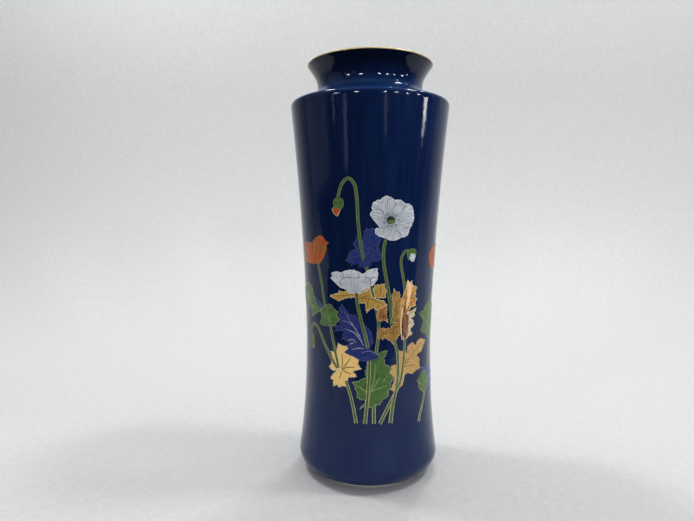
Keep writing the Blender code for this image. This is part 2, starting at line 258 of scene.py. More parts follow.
def revolve(name, outline, materials, material_at=None):
    """A smooth solid of revolution about Z, from a closed outline or one whose ends are on the axis."""
    builder = bmesh.new()
    rings = []
    for r, z in outline:
        turns = [0.0] if r < 1e-6 else [2 * pi * k / AROUND for k in range(AROUND)]
        rings.append([builder.verts.new((r * cos(t) * MM, r * sin(t) * MM, z * MM)) for t in turns])
    closed = outline[0][0] > 1e-6
    for i in range(len(rings) if closed else len(rings) - 1):
        low, high = rings[i], rings[(i + 1) % len(rings)]
        index = material_at(outline[i], outline[(i + 1) % len(rings)]) if material_at else 0
        for k in range(AROUND):
            corners = [ring[j % len(ring)] for ring, j in ((low, k), (low, k + 1), (high, k + 1), (high, k))]
            face = builder.faces.new(list(dict.fromkeys(corners)))
            face.material_index = index
    bmesh.ops.recalc_face_normals(builder, faces=builder.faces)
    return finished(name, builder, materials)


def finished(name, builder, materials):
    """The object made from a finished mesh, smooth apart from its sharp edges."""
    mesh = bpy.data.meshes.new(name)
    builder.to_mesh(mesh)
    builder.free()
    for material in materials:
        mesh.materials.append(material)
    mesh.shade_smooth()
    mesh.set_sharp_from_angle(angle=radians(38))
    obj = bpy.data.objects.new(name, mesh)
    bpy.context.scene.collection.objects.link(obj)
    return obj


# Films on the wall --------------------------------------------------------------------------------


def distance_to(line, points):
    """Distance of each point to a closed line."""
    a = np.array(line)
    b = np.roll(a, -1, axis=0)
    edge = b - a
    length = np.maximum((edge**2).sum(1), 1e-12)
    away = points[:, None, :] - a[None]
    t = np.clip((away * edge[None]).sum(2) / length, 0, 1)
    return np.linalg.norm(away - t[..., None] * edge[None], axis=2).min(1)


def add_film(builder, outline, layer, material):
    """A flat patch with a soft edge, cut into cells so that it follows the wall, and closed below."""
    patch = bmesh.new()
    patch.faces.new([patch.verts.new((x, y, 0)) for x, y in outline])
    line = np.array(outline)
    for axis in (0, 1):
        low, high = line[:, axis].min(), line[:, axis].max()
        normal = (1, 0, 0) if axis == 0 else (0, 1, 0)
        for at in heights(low, high, CELL):
            parts = patch.verts[:] + patch.edges[:] + patch.faces[:]
            centre = (at, 0, 0) if axis == 0 else (0, at, 0)
            bmesh.ops.bisect_plane(patch, geom=parts, dist=1e-4, plane_co=centre, plane_no=normal)
    base = layer * LAYER
    flat = np.array([v.co[:2] for v in patch.verts])
    inside = distance_to(outline, flat)
    thick = FILM * (FILM_EDGE + (1 - FILM_EDGE) * (1 - np.exp(-inside / FILM_SWELL)))
    top = [builder.verts.new((x, y, base + t)) for (x, y), t in zip(flat, thick)]
    under = [builder.verts.new((x, y, -UNDER)) for x, y in flat]
    patch.verts.index_update()
    for face in patch.faces:
        corners = [v.index for v in face.verts]
        builder.faces.new([top[i] for i in corners]).material_index = material
        builder.faces.new([under[i] for i in reversed(corners)]).material_index = material
    for edge in patch.edges:
        if len(edge.link_faces) == 1:
            a, b = (v.index for v in edge.verts)
            builder.faces.new((top[a], under[a], under[b], top[b])).material_index = material
    patch.free()


def add_ribbon(builder, line, low, rise, material, closed=False, across=1, dome=0.0):
    """A raised strip along a line of (x, y, width), flat or domed, closed below."""
    points = np.array([p[:2] for p in line])
    widths = np.array([p[2] for p in line])
    if closed:
        after, before = np.roll(points, -1, axis=0), np.roll(points, 1, axis=0)
    else:
        after = np.vstack([points[1:], points[-1:]])
        before = np.vstack([points[:1], points[:-1]])
    along = after - before
    along /= np.maximum(np.linalg.norm(along, axis=1), 1e-9)[:, None]
    side = np.stack([-along[:, 1], along[:, 0]], axis=1)
    shares = [k / across * 2 - 1 for k in range(across + 1)]
    stations = []
    for p, n, w in zip(points, side, widths):
        ring = []
        for share in shares:
            x, y = p + n * share * w / 2
            height = low + rise + dome * (1 - share * share)
            ring.append(builder.verts.new((x, y, height)))
        for share in (1.0, -1.0):
            x, y = p + n * share * w * RIBBON_FOOT
            ring.append(builder.verts.new((x, y, -UNDER)))
        stations.append(ring)
    pairs = list(zip(stations, stations[1:]))
    if closed:
        pairs.append((stations[-1], stations[0]))
    for one, two in pairs:
        for k in range(len(one)):
            corners = (one[k - 1], one[k], two[k], two[k - 1])
            builder.faces.new(corners).material_index = material
    if not closed:
        builder.faces.new(stations[0][::-1]).material_index = material
        builder.faces.new(stations[-1]).material_index = material


def on_wall(x, y, proud):
    """Where a point of the print is, on the front of the vase, in metres."""
    bow = PRINT_BOW * ((y - PRINT_MIDDLE) / PRINT_HALF_HEIGHT) ** 2
    z = y + PRINT_LIFT - bow - PRINT_SAG * (x / PRINT_HALF_WIDTH) ** 2
    angle = FRONT + x / PRINT_RADIUS
    radius = wall_radius(z) + proud
    return Vector((radius * cos(angle), radius * sin(angle), z)) * MM


def tapered(points, width, ends=0.35):
    """A line with a width that thins towards both ends."""
    line = through(points)
    last = len(line) - 1
    return [p[:2] + (width * (ends + (1 - ends) * sin(pi * k / last) ** 0.5),) for k, p in enumerate(line)]


def spiked(points):
    """The same outline with its tips drawn out and its notches pulled in."""
    at = [Vector(p) for p in points]
    clockwise = sum(p.cross(at[i - 1]) for i, p in enumerate(at)) > 0
    moved = []
    for i, p in enumerate(at):
        behind, ahead = p - at[i - 1], at[(i + 1) % len(at)] - p
        turn = behind.cross(ahead) * (-1 if clockwise else 1)
        inward = ahead.normalized() - behind.normalized()
        reach = SPIKE if turn > 0 else SPIKE / 2
        moved.append(p - inward.normalized() * reach * min(1.0, inward.length / SHARP_TURN))
    return moved


def notched(rib, tips):
    """A leaf's corners: its tips, and between two tips a notch that is cut towards the rib."""
    middle = np.array(through(rib))
    corners = []
    for k, (x, y, cut) in enumerate(tips):
        corners.append((x, y))
        if cut:
            between = (np.array((x, y)) + tips[(k + 1) % len(tips)][:2]) / 2
            nearest = middle[np.linalg.norm(middle - between, axis=1).argmin()]
            corners.append(tuple(between + (nearest - between) * cut))
    return corners


def scalloped(notches, ruffle=0.0):
    """A petal's edge: a ruffled half ellipse from each notch to the next, as high as the notch's rise."""
    edge = []
    for k, (x, y, rise) in enumerate(notches):
        start, end = Vector((x, y)), Vector(notches[(k + 1) % len(notches)][:2])
        chord = end - start
        out = Vector((-chord.y, chord.x)).normalized()
        steps = max(2, round(chord.length / SCALLOP_STEP)) if rise else 1
        waves = max(1, round((chord.length + rise) / RUFFLE_PITCH))
        for j in range(steps):
            turn = pi * j / steps
            reach = rise * sin(turn) + ruffle * (abs(sin(waves * turn)) - 0.5) * min(1.0, rise)
            point = start + chord * (1 - cos(turn)) / 2 + out * reach
            edge.append((point.x, point.y))
    return edge


def outline(shape, style="petal"):
    """The closed edge of a petal, or of a leaf with pointed lobes and small teeth."""
    if style == "leaf":
        tips = spiked(notched(*shape))
        return through(tips, closed=True, corner=LEAF_CORNER, tooth=LEAF_TOOTH, bulge=LEAF_HOLLOW)
    return scalloped(shape, RUFFLE if style == "ruffled" else 0.0)


def beside(route, way, width):
    """The line just inside one side of a stem."""
    line = np.array(through(route, corner=STEM_CORNER))
    along = np.gradient(line[:, :2], axis=0)
    along /= np.linalg.norm(along, axis=1)[:, None]
    side = np.stack([-along[:, 1], along[:, 0]], axis=1) * way
    moved = line[:, :2] + side * (line[:, 2:] / 2 - width * STEM_LINE_INSET)
    return [(x, y, width) for x, y in moved]


def print_piece(name, parts, materials):
    """One printed shape at the front, and the same at the back, from its films, lines and stems."""
    builder = bmesh.new()
    slots = []
    for kind, layer, material, *shape in parts:
        if material not in slots:
            slots.append(material)
        index = slots.index(material)
        low = layer * LAYER
        if kind == "film":
            add_film(builder, outline(*shape), layer, index)
        elif kind == "edge":
            width, *drawn = shape
            line = [p + (width,) for p in outline(*drawn)]
            add_ribbon(builder, line, low + FILM, LINE_RISE, index, closed=True)
        elif kind == "line":
            for points in shape[1:]:
                add_ribbon(builder, tapered(points, shape[0]), low + FILM, LINE_RISE, index)
        elif kind == "stem":
            route = through(shape[0], corner=STEM_CORNER)
            add_ribbon(builder, route, low, STEM_RISE, index, across=6, dome=FILM)
        elif kind == "side":
            add_ribbon(builder, beside(*shape), low + STEM_RISE, LINE_RISE, index)
        elif kind == "dot":
            for x, y, radius in shape[0]:
                add_dot(builder, x, y, radius, low + FILM, index)
    bmesh.ops.recalc_face_normals(builder, faces=builder.faces)
    panel = [tuple(v.co) for v in builder.verts]
    for vert in builder.verts:
        vert.co = on_wall(*vert.co)
    front = finished(f"front_{name}_print", builder, [materials[m] for m in slots])
    attribute = front.data.attributes.new("panel", "FLOAT_VECTOR", "POINT")
    attribute.data.foreach_set("vector", np.array(panel, np.float32).ravel())
    back = bpy.data.objects.new(f"back_{name}_print", front.data.copy())
    back.data.transform(Matrix.Rotation(pi, 4, "Z"))
    bpy.context.scene.collection.objects.link(back)
    for side, obj in (("front", front), ("back", back)):
        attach(obj, "root")
        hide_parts(f"{side}_{name}")
    return front, back


def add_dot(builder, x, y, radius, low, material):
    """A small round blob of enamel."""
    turns = [2 * pi * k / DOT_SIDES for k in range(DOT_SIDES)]
    rings = []
    for share, rise in ((1.0, -UNDER - low), (1.0, 0.0), (0.8, 0.05), (0.45, 0.085)):
        reach = radius * share
        rings.append([builder.verts.new((x + reach * cos(t), y + reach * sin(t), low + rise)) for t in turns])
    for one, two in zip(rings, rings[1:]):
        for k in range(DOT_SIDES):
            corners = (one[k - 1], one[k], two[k], two[k - 1])
            builder.faces.new(corners).material_index = material
    builder.faces.new(rings[0][::-1]).material_index = material
    builder.faces.new(rings[-1]).material_index = material


# Materials ----------------------------------------------------------------------------------------


class Shader:
    """A Principled material and short ways to add nodes to it."""

    def __init__(self, name, roughness=0.3, metallic=0.0, coat=0.0):
        self.material = bpy.data.materials.new(name)
        self.material.use_nodes = True
        self.tree = self.material.node_tree
        self.base = self.tree.nodes["Principled BSDF"]
        self.base.inputs["Roughness"].default_value = roughness
        self.base.inputs["Metallic"].default_value = metallic
        self.base.inputs["Coat Weight"].default_value = coat
        self.base.inputs["Coat Roughness"].default_value = 0.05

    def node(self, kind, inputs=None, **settings):
        made = self.tree.nodes.new("ShaderNode" + kind)
        for key, value in settings.items():
            setattr(made, key, value)
        for key, value in (inputs or {}).items():
            if isinstance(value, bpy.types.NodeSocket):
                self.tree.links.new(value, made.inputs[key])
            else:
                made.inputs[key].default_value = value
        return made

    def math(self, operation, a, b=0.0):
        return self.node("Math", {0: a, 1: b}, operation=operation).outputs[0]

    def noise(self, vector, scale, detail=3.0, roughness=0.55, stretch=None):
        if stretch:
            vector = self.node("Mapping", {"Vector": vector, "Scale": stretch}).outputs["Vector"]
        inputs = {"Vector": vector, "Scale": scale, "Detail": detail, "Roughness": roughness}
        return self.node("TexNoise", inputs).outputs["Fac"]

    def times(self, a, b):
        return self.math("MULTIPLY", a, b)

    def plus(self, a, b):
        return self.math("ADD", a, b)

    def spread(self, value, low, high, to_low=0.0, to_high=1.0):
        inputs = {"Value": value, "From Min": low, "From Max": high, "To Min": to_low, "To Max": to_high}
        return self.node("MapRange", inputs).outputs["Result"]

    def mix(self, share, a, b, blend="MIX"):
        made = self.node("Mix", data_type="RGBA", blend_type=blend)
        for key, value in ((0, share), (6, a), (7, b)):
            if isinstance(value, bpy.types.NodeSocket):
                self.tree.links.new(value, made.inputs[key])
            else:
                made.inputs[key].default_value = (*value, 1) if isinstance(value, tuple) else value
        return made.outputs[2]

    def rise(self, height, low, high):
        """0 below the low level and 1 above the high one, both in millimetres, or the other way round."""
        return self.spread(height, low * MM, high * MM)

    def place(self):
        """The point on the vase, in metres."""
        return self.node("TexCoord").outputs["Object"]

    def panel(self):
        """The point on the print, in its millimetres."""
        return self.node("Attribute", attribute_name="panel").outputs["Vector"]

    def set(self, socket, value):
        self.tree.links.new(value, self.base.inputs[socket])

    def bump(self, height, strength, distance):
        inputs = {"Height": height, "Strength": strength, "Distance": distance}
        self.set("Normal", self.node("Bump", inputs).outputs["Normal"])


def cobalt_glaze():
    """Deep blue glass over the body: faint upright runs, a mottled depth, smudges and a few pinholes, with
    painted shade on the left side and under the lip, painted light on the shoulder cove and a painted
    reflection of the floor on the lower wall.
    """
    shader = Shader("cobalt_glaze", roughness=0.08)
    shader.base.inputs["Specular IOR Level"].default_value = 0.3
    shader.base.inputs["Specular Tint"].default_value = (0.80, 0.88, 1.0, 1)
    place = shader.place()
    runs = shader.noise(place, 260, 4, stretch=(1, 1, 0.06))
    clouds = shader.noise(place, 55, 3)
    grain = shader.noise(place, 1400, 2)
    smudges = shader.noise(place, 85, 4, 0.6, stretch=(1, 1, 0.5))
    deep, light = (0.0028, 0.0100, 0.048), (0.0060, 0.0185, 0.080)
    colour = shader.mix(shader.spread(runs, 0.35, 0.7), deep, light)
    colour = shader.mix(shader.spread(clouds, 0.4, 0.75, 0, 0.5), colour, (0.0040, 0.0150, 0.066))
    colour = shader.mix(shader.spread(grain, 0.62, 0.8, 0, 0.35), colour, (0.012, 0.028, 0.11))
    parts = shader.node("SeparateXYZ", {0: place}).outputs
    across, height = parts[0], parts[2]
    # Painted shade: thick darkens the left side of the body above the waist, away from the lamps on the
    # right; the glaze is no thicker there.
    thick = shader.times(shader.rise(across, 12, -8), shader.rise(height, 60, 100))
    # Painted light: the cove between shoulder and neck is tinted a lighter blue, as if lit from above.
    lit_cove_foot = shader.rise(height, SHOULDER_HEIGHT + 1.5, SHOULDER_HEIGHT + 4.5)
    lit_cove = shader.times(lit_cove_foot, shader.rise(height, HEIGHT - 12, HEIGHT - 18))
    # Painted reflection: the lower wall is tinted a lighter blue, as if it mirrored the bright floor.
    painted_floor_glow = shader.rise(height, 62, 30)
    smudged = shader.times(shader.spread(smudges, 0.46, 0.68, 0.0, 0.6), shader.rise(height, 95, 50))
    # Painted shade: the glaze just below the flaring lip is darkened.
    shade_under_lip = shader.rise(height, HEIGHT - 13, HEIGHT - 5)
    for share, tint in (
        (shader.times(thick, 0.4), (0.0020, 0.0050, 0.018)),
        (shader.times(lit_cove, 0.85), (0.0085, 0.042, 0.160)),
        (shader.times(painted_floor_glow, 0.4), (0.0040, 0.020, 0.100)),
        (smudged, (0.011, 0.023, 0.090)),
        (shader.times(shade_under_lip, 0.85), (0.0016, 0.0030, 0.010)),
    ):
        colour = shader.mix(share, colour, tint)
    shader.set("Base Color", colour)
    shader.set("Roughness", shader.spread(shader.noise(place, 38, 4, 0.65), 0.35, 0.75, 0.05, 0.13))
    shader.bump(shader.plus(shader.times(runs, 0.5), shader.noise(place, 190, 2)), 0.22, 0.0003)
    return shader.material


def white_glaze():
    """The clear-glazed white inside, a little warm, with faint turning rings."""
    shader = Shader("white_glaze", roughness=0.12, coat=0.6)
    place = shader.place()
    rings = shader.noise(place, 420, 3, stretch=(0.05, 0.05, 1))
    clouds = shader.noise(place, 60, 3)
    colour = shader.mix(shader.spread(clouds, 0.35, 0.7), (0.66, 0.66, 0.64), (0.75, 0.74, 0.71))
    colour = shader.mix(shader.spread(rings, 0.55, 0.8, 0, 0.3), colour, (0.60, 0.60, 0.58))
    shader.set("Base Color", colour)
    shader.set("Roughness", shader.spread(clouds, 0.3, 0.7, 0.10, 0.2))
    shader.bump(rings, 0.15, 0.0003)
    return shader.material


def bare_porcelain():
    """The unglazed foot: chalky white with a fine grit and faint brown stains."""
    shader = Shader("bare_porcelain", roughness=0.7)
    place = shader.place()
    grit = shader.noise(place, 2600, 4, 0.7)
    stain = shader.noise(place, 130, 3)
    colour = shader.mix(shader.spread(grit, 0.35, 0.7), (0.46, 0.44, 0.40), (0.66, 0.64, 0.59))
    colour = shader.mix(shader.spread(stain, 0.5, 0.8, 0, 0.6), colour, (0.36, 0.33, 0.28))
    shader.set("Base Color", colour)
    shader.bump(grit, 0.5, 0.0002)
    return shader.material


def rim_gold():
    """Bright gold brushed round the lip by hand: fine strokes round the band, thinner in places."""
    shader = Shader("rim_gold", roughness=0.25, metallic=0.3)
    place = shader.place()
    strokes = shader.noise(place, 420, 3, stretch=(1, 1, 8))
    worn = shader.noise(place, 160, 4, 0.7)
    colour = shader.mix(shader.spread(strokes, 0.3, 0.7), (0.70, 0.52, 0.20), (0.92, 0.76, 0.40))
    colour = shader.mix(shader.spread(worn, 0.6, 0.75, 0, 0.7), colour, (0.42, 0.27, 0.09))
    shader.set("Base Color", colour)
    shader.set("Roughness", shader.spread(worn, 0.3, 0.8, 0.15, 0.42))
    shader.bump(strokes, 0.25, 0.0002)
    return shader.material


def enamel(name, light, dark, roughness=0.28, streak=(0.5, 0.12), tint=None):
    """Fired colour: short strokes along the shape, a fine screen grain and a soft uneven film."""
    shader = Shader(name, roughness=roughness, coat=0.08)
    shader.base.inputs["Specular IOR Level"].default_value = 0.3
    panel = shader.panel()
    strokes = shader.noise(panel, 1.6, 4, 0.6, stretch=(*streak, 0))
    film = shader.noise(panel, 0.16, 3, stretch=(1, 1, 0))
    grain = shader.noise(panel, 5.5, 2, stretch=(1, 1, 0))
    colour = shader.mix(shader.spread(strokes, 0.35, 0.68), dark, light)
    colour = shader.mix(shader.spread(grain, 0.4, 0.75, 0, 0.35), colour, light)
    if tint:
        colour = shader.mix(shader.spread(film, 0.45, 0.7, 0, 0.8), colour, tint)
    shader.set("Base Color", colour)
    shader.set("Roughness", shader.spread(film, 0.3, 0.7, roughness - 0.06, roughness + 0.1))
    shader.bump(shader.plus(strokes, shader.times(grain, 0.4)), 0.3, 0.00006)
    return shader.material


def stem_edge():
    """The line down each side of a stem: pale gold near its foot, and a soft light green higher up."""
    shader = Shader("stem_edge", roughness=0.32)
    panel = shader.panel()
    rise = shader.node("SeparateXYZ", {0: panel}).outputs[1]
    worn = shader.noise(panel, 1.1, 3, stretch=(1, 0.35, 0))
    gold = shader.mix(shader.spread(worn, 0.35, 0.65), (0.34, 0.33, 0.15), (0.54, 0.52, 0.29))
    green = shader.mix(shader.spread(worn, 0.35, 0.65), (0.09, 0.14, 0.035), (0.22, 0.27, 0.10))
    shader.set("Base Color", shader.mix(shader.spread(rise, 66, 100), gold, green))
    return shader.material


def petal_white():
    """White petals: bluish rays run out from the open flower's middle and up from the side one's base."""
    shader = Shader("petal_white", roughness=0.3, coat=0.08)
    shader.base.inputs["Specular IOR Level"].default_value = 0.3
    panel = shader.panel()
    parts = shader.node("SeparateXYZ", {0: panel})
    x, y = parts.outputs[0], parts.outputs[1]
    upper = shader.math("GREATER_THAN", y, POPPIES_PART)
    centre_x = shader.spread(upper, 0, 1, SIDE_POPPY_BASE[0], POPPY_CENTRE[0])
    centre_y = shader.spread(upper, 0, 1, SIDE_POPPY_BASE[1], POPPY_CENTRE[1])
    dx, dy = shader.math("SUBTRACT", x, centre_x), shader.math("SUBTRACT", y, centre_y)
    reach = shader.math("SQRT", shader.plus(shader.times(dx, dx), shader.times(dy, dy)))
    turn = shader.math("ARCTAN2", dy, dx)
    ray_point = shader.node("CombineXYZ", {0: shader.times(turn, 5.0), 1: shader.times(reach, 0.1)})
    rays = shader.noise(ray_point.outputs[0], 2.2, 4, 0.65)
    grain = shader.noise(panel, 5.0, 2, stretch=(1, 1, 0))
    white, shade, heart = (0.70, 0.73, 0.77), (0.38, 0.41, 0.49), (0.19, 0.23, 0.31)
    colour = shader.mix(shader.spread(rays, 0.40, 0.60), shade, white)
    near = shader.spread(reach, 1.5, 13.5, 0.95, 0.0)
    colour = shader.mix(shader.times(near, shader.spread(rays, 0.2, 0.6, 1.0, 0.5)), colour, heart)
    colour = shader.mix(shader.spread(grain, 0.4, 0.8, 0, 0.35), colour, white)
    shader.set("Base Color", colour)
    shader.bump(rays, 0.3, 0.0001)
    return shader.material


def print_gold(name, light, dark, roughness, streak, tint, metallic):
    """Fired gold: satin, brushed one way, warmer and thinner in patches."""
    shader = Shader(name, roughness=roughness, metallic=metallic)
    panel = shader.panel()
    strokes = shader.noise(panel, 2.0, 4, 0.6, stretch=(*streak, 0))
    patches = shader.noise(panel, 0.22, 3, stretch=(1, 0.7, 0))
    grain = shader.noise(panel, 7.0, 2, stretch=(1, 1, 0))
    colour = shader.mix(shader.spread(strokes, 0.35, 0.65), dark, light)
    colour = shader.mix(shader.spread(patches, 0.42, 0.7, 0, 0.6), colour, light)
    if tint:
        warm = shader.noise(panel, 0.33, 3, stretch=(1, 1, 0))
        colour = shader.mix(shader.spread(warm, 0.47, 0.62, 0, 0.85), colour, tint)
    colour = shader.mix(shader.spread(grain, 0.55, 0.8, 0, 0.4), colour, dark)
    shader.set("Base Color", colour)
    shader.set("Roughness", shader.spread(patches, 0.3, 0.7, roughness - 0.08, roughness + 0.1))
    shader.bump(shader.plus(strokes, grain), 0.3, 0.00006)
    return shader.material


# The prints, as (across, up) in millimetres -------------------------------------------------------

# The middle of the open poppy, the base of the side one, and the height that parts the two.
POPPY_CENTRE = (12.0, 157.0)
SIDE_POPPY_BASE = (-7.5, 113.0)
STAMENS = 44
STAMEN_FOOT = 2.7
POPPIES_PART = 132.0

# A petal or bud is a list of notches (across, up, rise), clockwise: a round scallop goes from each to the
# next. A leaf is its rib and a list of tips (across, up, cut), clockwise: the notch after a tip is cut
# towards the rib. Folds and veins are lists of lines.

WHITE_POPPY = [
    (0.6, 160.2, 0.2), (2.4, 162.6, 1.3), (3.6, 167.2, 0.7), (6.6, 167.6, 1.4), (10.6, 169.8, 0.5),
    (14, 167.6, 1.5), (19.6, 165.9, 0.7), (23.4, 165.6, 0.9), (25.4, 161.4, 1), (25.2, 155.6, 0.5),
    (23, 151.8, 0.9), (21.6, 148.4, 0.5), (18.4, 147.9, 0.6), (15, 146.1, 0.9), (9.2, 147.4, 0.6),
    (4.6, 149, 1), (4.4, 152.4, 0), (6.4, 152.9, 0.2), (3.4, 156.4, 0.2),
]
WHITE_POPPY_FOLDS = [
    [(2.3, 162.7), (5.5, 163), (7.6, 161.8), (8.1, 159.8)],
    [(6.5, 168.3), (7.3, 166.3)],
    [(12.4, 169.2), (10.3, 168.4), (9.6, 166.2), (10.4, 164.5)],
    [(14, 168.3), (14.5, 166), (13.5, 163.8)],
    [(20, 166), (19.8, 164.5), (18.5, 162.5)],
    [(26.5, 156), (24.5, 155.8), (21.5, 155.2)],
    [(24.5, 153), (22, 152.8), (19.5, 153.2)],
    [(18.8, 148), (17.5, 149.8), (14.8, 151.8)],
    [(4, 152.8), (7, 152.5), (10, 152.6)],
]
SIDE_POPPY = [
    (-23.8, 123.7, 0), (-22, 124.7, 0), (-22.9, 126, 0.3), (-20.4, 127, 0.6), (-16, 126.2, 0.8),
    (-12.4, 127.7, 0.9), (-7.4, 127.7, 0.6), (-3.2, 125.5, 0.5), (0.6, 128.6, 0.4), (5.2, 129.4, 0),
    (4.6, 127.9, 0.6), (4.8, 125, 0.5), (4, 122.4, 0.3), (2, 119.8, 0), (0.4, 119.4, 3.3),
    (-12.8, 117.4, 0.2), (-17.6, 118.8, 0),
]
SIDE_POPPY_FOLDS = [
    [(-16.8, 119), (-17, 121.5), (-14.8, 124), (-11.4, 124.2), (-7, 124), (-3.6, 124.8)],
    [(-15.8, 126.6), (-14.8, 124)],
    [(-2.8, 125), (0, 124), (1.2, 122), (0.4, 119.8)],
    [(0, 124), (3, 124.6), (5, 123.8)],
]
UPPER_BLUE_LEAF = (
    [(-3, 131.5), (0, 140), (0.5, 149)],
    [(-13.2, 134, 0.05), (-10.6, 138.4, 0), (-6.6, 140.6, 0), (-8.4, 144.2, 0.2), (-7.2, 148.4, 0),
     (-5.2, 142.4, 0), (-3, 146, 0), (-2.4, 149.4, 0), (-1.2, 152, 0.1), (1.6, 152, 0), (6.6, 146, 0.15),
     (5.9, 140, 0), (7.2, 136, 0), (5, 134.2, 0.3), (1, 132, 0), (-2, 130, 0.1), (-5.8, 130.4, 0.35),
     (-7, 132.4, 0), (-10, 131.4, 0.1)],
)
UPPER_BLUE_LOBE = [(-5.6, 130.4, -0.3), (-2.6, 135, 0.3), (0.8, 136.6, 0.3), (2.4, 134, 0), (-2, 130, 0)]
UPPER_BLUE_HOLE = (-1.8, 136.2, 0.6)
UPPER_BLUE_VEINS = [
    [(0, 137.4), (3.4, 139.4), (5.4, 144.6)],
    [(-0.8, 136.2), (-5.4, 136.8), (-11, 134.8)],
    [(0.4, 139), (-2.8, 142.4), (-4, 146.4)],
]
SIDE_GOLD_LEFT = (
    [(-9, 114.6), (-14, 113.8), (-21, 113)],
    [(-23.8, 112.8, 0), (-20.8, 114.2, 0), (-18.4, 114.7, 0), (-17.8, 116, 0.3), (-12.4, 116.4, 0),
     (-8.4, 115.4, 0), (-8.2, 113.2, 0), (-11.4, 112.9, 0), (-18, 111, 0)],
)
SIDE_GOLD_MAIN = (
    [(-5, 112.6), (1, 112), (8, 109.4)],
    [(-6.8, 114.6, 0), (0.4, 118.8, 0.5), (4.6, 112, 0), (8.2, 110.8, 0), (10.6, 108.7, 0.05),
     (5.3, 105.9, 0.2), (0.8, 106.4, 0), (-0.8, 104.6, 0.3), (-3, 109.8, 0), (-5.6, 109.9, 0)],
)
SIDE_GOLD_RIGHT = (
    [(7, 114.4), (7, 119)],
    [(4, 119.7, 0.1), (8.9, 120.3, 0.08), (10.4, 116.6, 0.05), (9.8, 113.4, 0), (4.6, 113.3, 0),
     (3.4, 116.5, 0)],
)
SIDE_GOLD_VEINS = [
    [(0.6, 114.2), (-1, 107.4)],
    [(0.6, 114.2), (-5.4, 112.4)],
]
BIG_GOLD_LOW = (
    [(8, 91.8), (14, 92.6), (20, 97)],
    [(6.2, 92, 0), (7.4, 94.8, 0.05), (13, 95, 0.1), (16.6, 98.8, 0), (20.4, 99.6, 0), (20.4, 92.5, 0),
     (18.6, 90, 0), (15.6, 85.9, 0.1), (12.4, 88.2, 0.25), (8.6, 88.9, 0.1), (6.5, 89.4, 0)],
)
BIG_GOLD_LEFT = (
    [(9, 101), (8.6, 106)],
    [(5.5, 101.4, 0), (6.5, 105.4, 0.1), (8.6, 108.4, 0), (10.6, 107.4, 0), (10.8, 103, 0),
     (11.6, 98.6, 0.2), (8.8, 99.8, 0), (6.2, 99.8, 0)],
)
BIG_GOLD_MIDDLE = (
    [(18, 98.6), (17, 106), (16.2, 113)],
    [(14.5, 98.8, 0), (14.9, 107, 0), (14.2, 114, 0.05), (15.3, 117.4, 0.1), (18.3, 115.5, 0.05),
     (20, 111, 0), (21.2, 104, 0), (20.6, 98.5, 0)],
)
BIG_GOLD_TOP = (
    [(22, 104), (23.6, 110), (25.6, 118)],
    [(20.7, 103.5, 0), (20.4, 109, 0), (21.6, 113.8, 0), (23.7, 118.4, 0), (24.5, 122.3, 0.15),
     (27.3, 121.7, 0.4), (31.6, 117.9, 0.05), (30.9, 114, 0.45), (32, 111, 0.05), (31, 107.6, 0.1),
     (27, 106.1, 0), (24, 103.4, 0)],
)
BIG_GOLD_RIGHT = (
    [(24.5, 103), (24.5, 90)],
    [(24, 103, 0), (28, 104, 0), (31.8, 105.5, 0.1), (30.6, 101.6, 0.6), (28.6, 98.9, 0),
     (30.3, 96.3, 0.55), (29, 91.1, 0.1), (25.6, 89.2, 0), (22.4, 88, 0)],
)
# The big leaf's glint and shade strip are painted reflections: the glint stands for a bright window seen in
# the gold, the shade strip for the dark room.
BIG_GOLD_GLINT = [(24.4, 121, 0.1), (27.1, 120.6, 1.4), (24, 105.6, 0.2)]
BIG_GOLD_SHADE = [(22.4, 108, 0.1), (24.2, 103, 0.2), (25.9, 101, 0.2), (25.4, 90.5, 0.2), (23.4, 87.8, 1.2)]
BIG_GOLD_RIB = [(21.4, 88), (20.6, 94), (20.4, 101), (21.8, 107)]
BIG_GOLD_MIDDLE_VEINS = [[(20.4, 98), (16, 99.2), (14.8, 98.9)]]
BIG_GOLD_LOW_VEINS = [[(19.6, 96), (14, 94.6), (8, 91)]]
BIG_GOLD_TOP_VEINS = [[(22.8, 106.6), (26, 109), (30, 109.6)], [(23, 109.4), (27.6, 113.2), (30, 116)]]
BIG_GOLD_RIGHT_VEINS = [[(24.4, 101), (27, 102.8), (29.8, 104.2)], [(24.4, 96.4), (28, 98)]]
LOWER_BLUE_LEAF = (
    [(-3, 85), (-5, 90), (-10.4, 98), (-14.8, 104.6)],
    [(-16.4, 108, 0), (-12.4, 103.8, 0.5), (-8.1, 102.2, 0.05), (-2.4, 96.4, 0), (1, 93, 0), (2.4, 87.6, 0),
     (0, 84, 0), (-6, 82.6, 0), (-12.8, 84, 0.1), (-11.8, 86.4, 0.35), (-13.8, 87.2, 0.15),
     (-16, 88.4, 0.45), (-21.2, 92.6, 0.05), (-20.2, 94.4, 0.45), (-18, 97.8, 0.25), (-18.2, 101, 0.2),
     (-17.4, 105, 0)],
)
LOWER_BLUE_LOBE = [
    (-14.4, 80.5, 0.4), (-9.6, 84, 0.5), (0, 82.9, 0.7), (6.5, 78.2, 0.5), (-3.5, 76.2, 0.2),
    (-9, 78.7, 0.2),
]
LOWER_BLUE_VEINS = [
    [(-5.4, 90.4), (-10, 93), (-14.6, 94.4)],
    [(-8.4, 95.4), (-12.6, 98.4), (-16.4, 99)],
]
LOWER_BLUE_GLEAMS = [
    [(-2.6, 84.8), (-5, 88.6), (-8.8, 92.6), (-12.8, 93.8)],
    [(-4.6, 90), (-7, 93.4), (-10.2, 98.2)],
    [(-7.2, 86.8), (-9.6, 88.4), (-12.4, 87.6)],
    [(-8.4, 86.6), (-11.4, 85.6)],
    [(-2.6, 83.3), (-6, 83.4), (-10, 82.4)],
]
LOWER_BLUE_LOBE_VEINS = [[(-4, 80.4), (-1.4, 81.8), (1.4, 81.8), (4.6, 80.4)]]
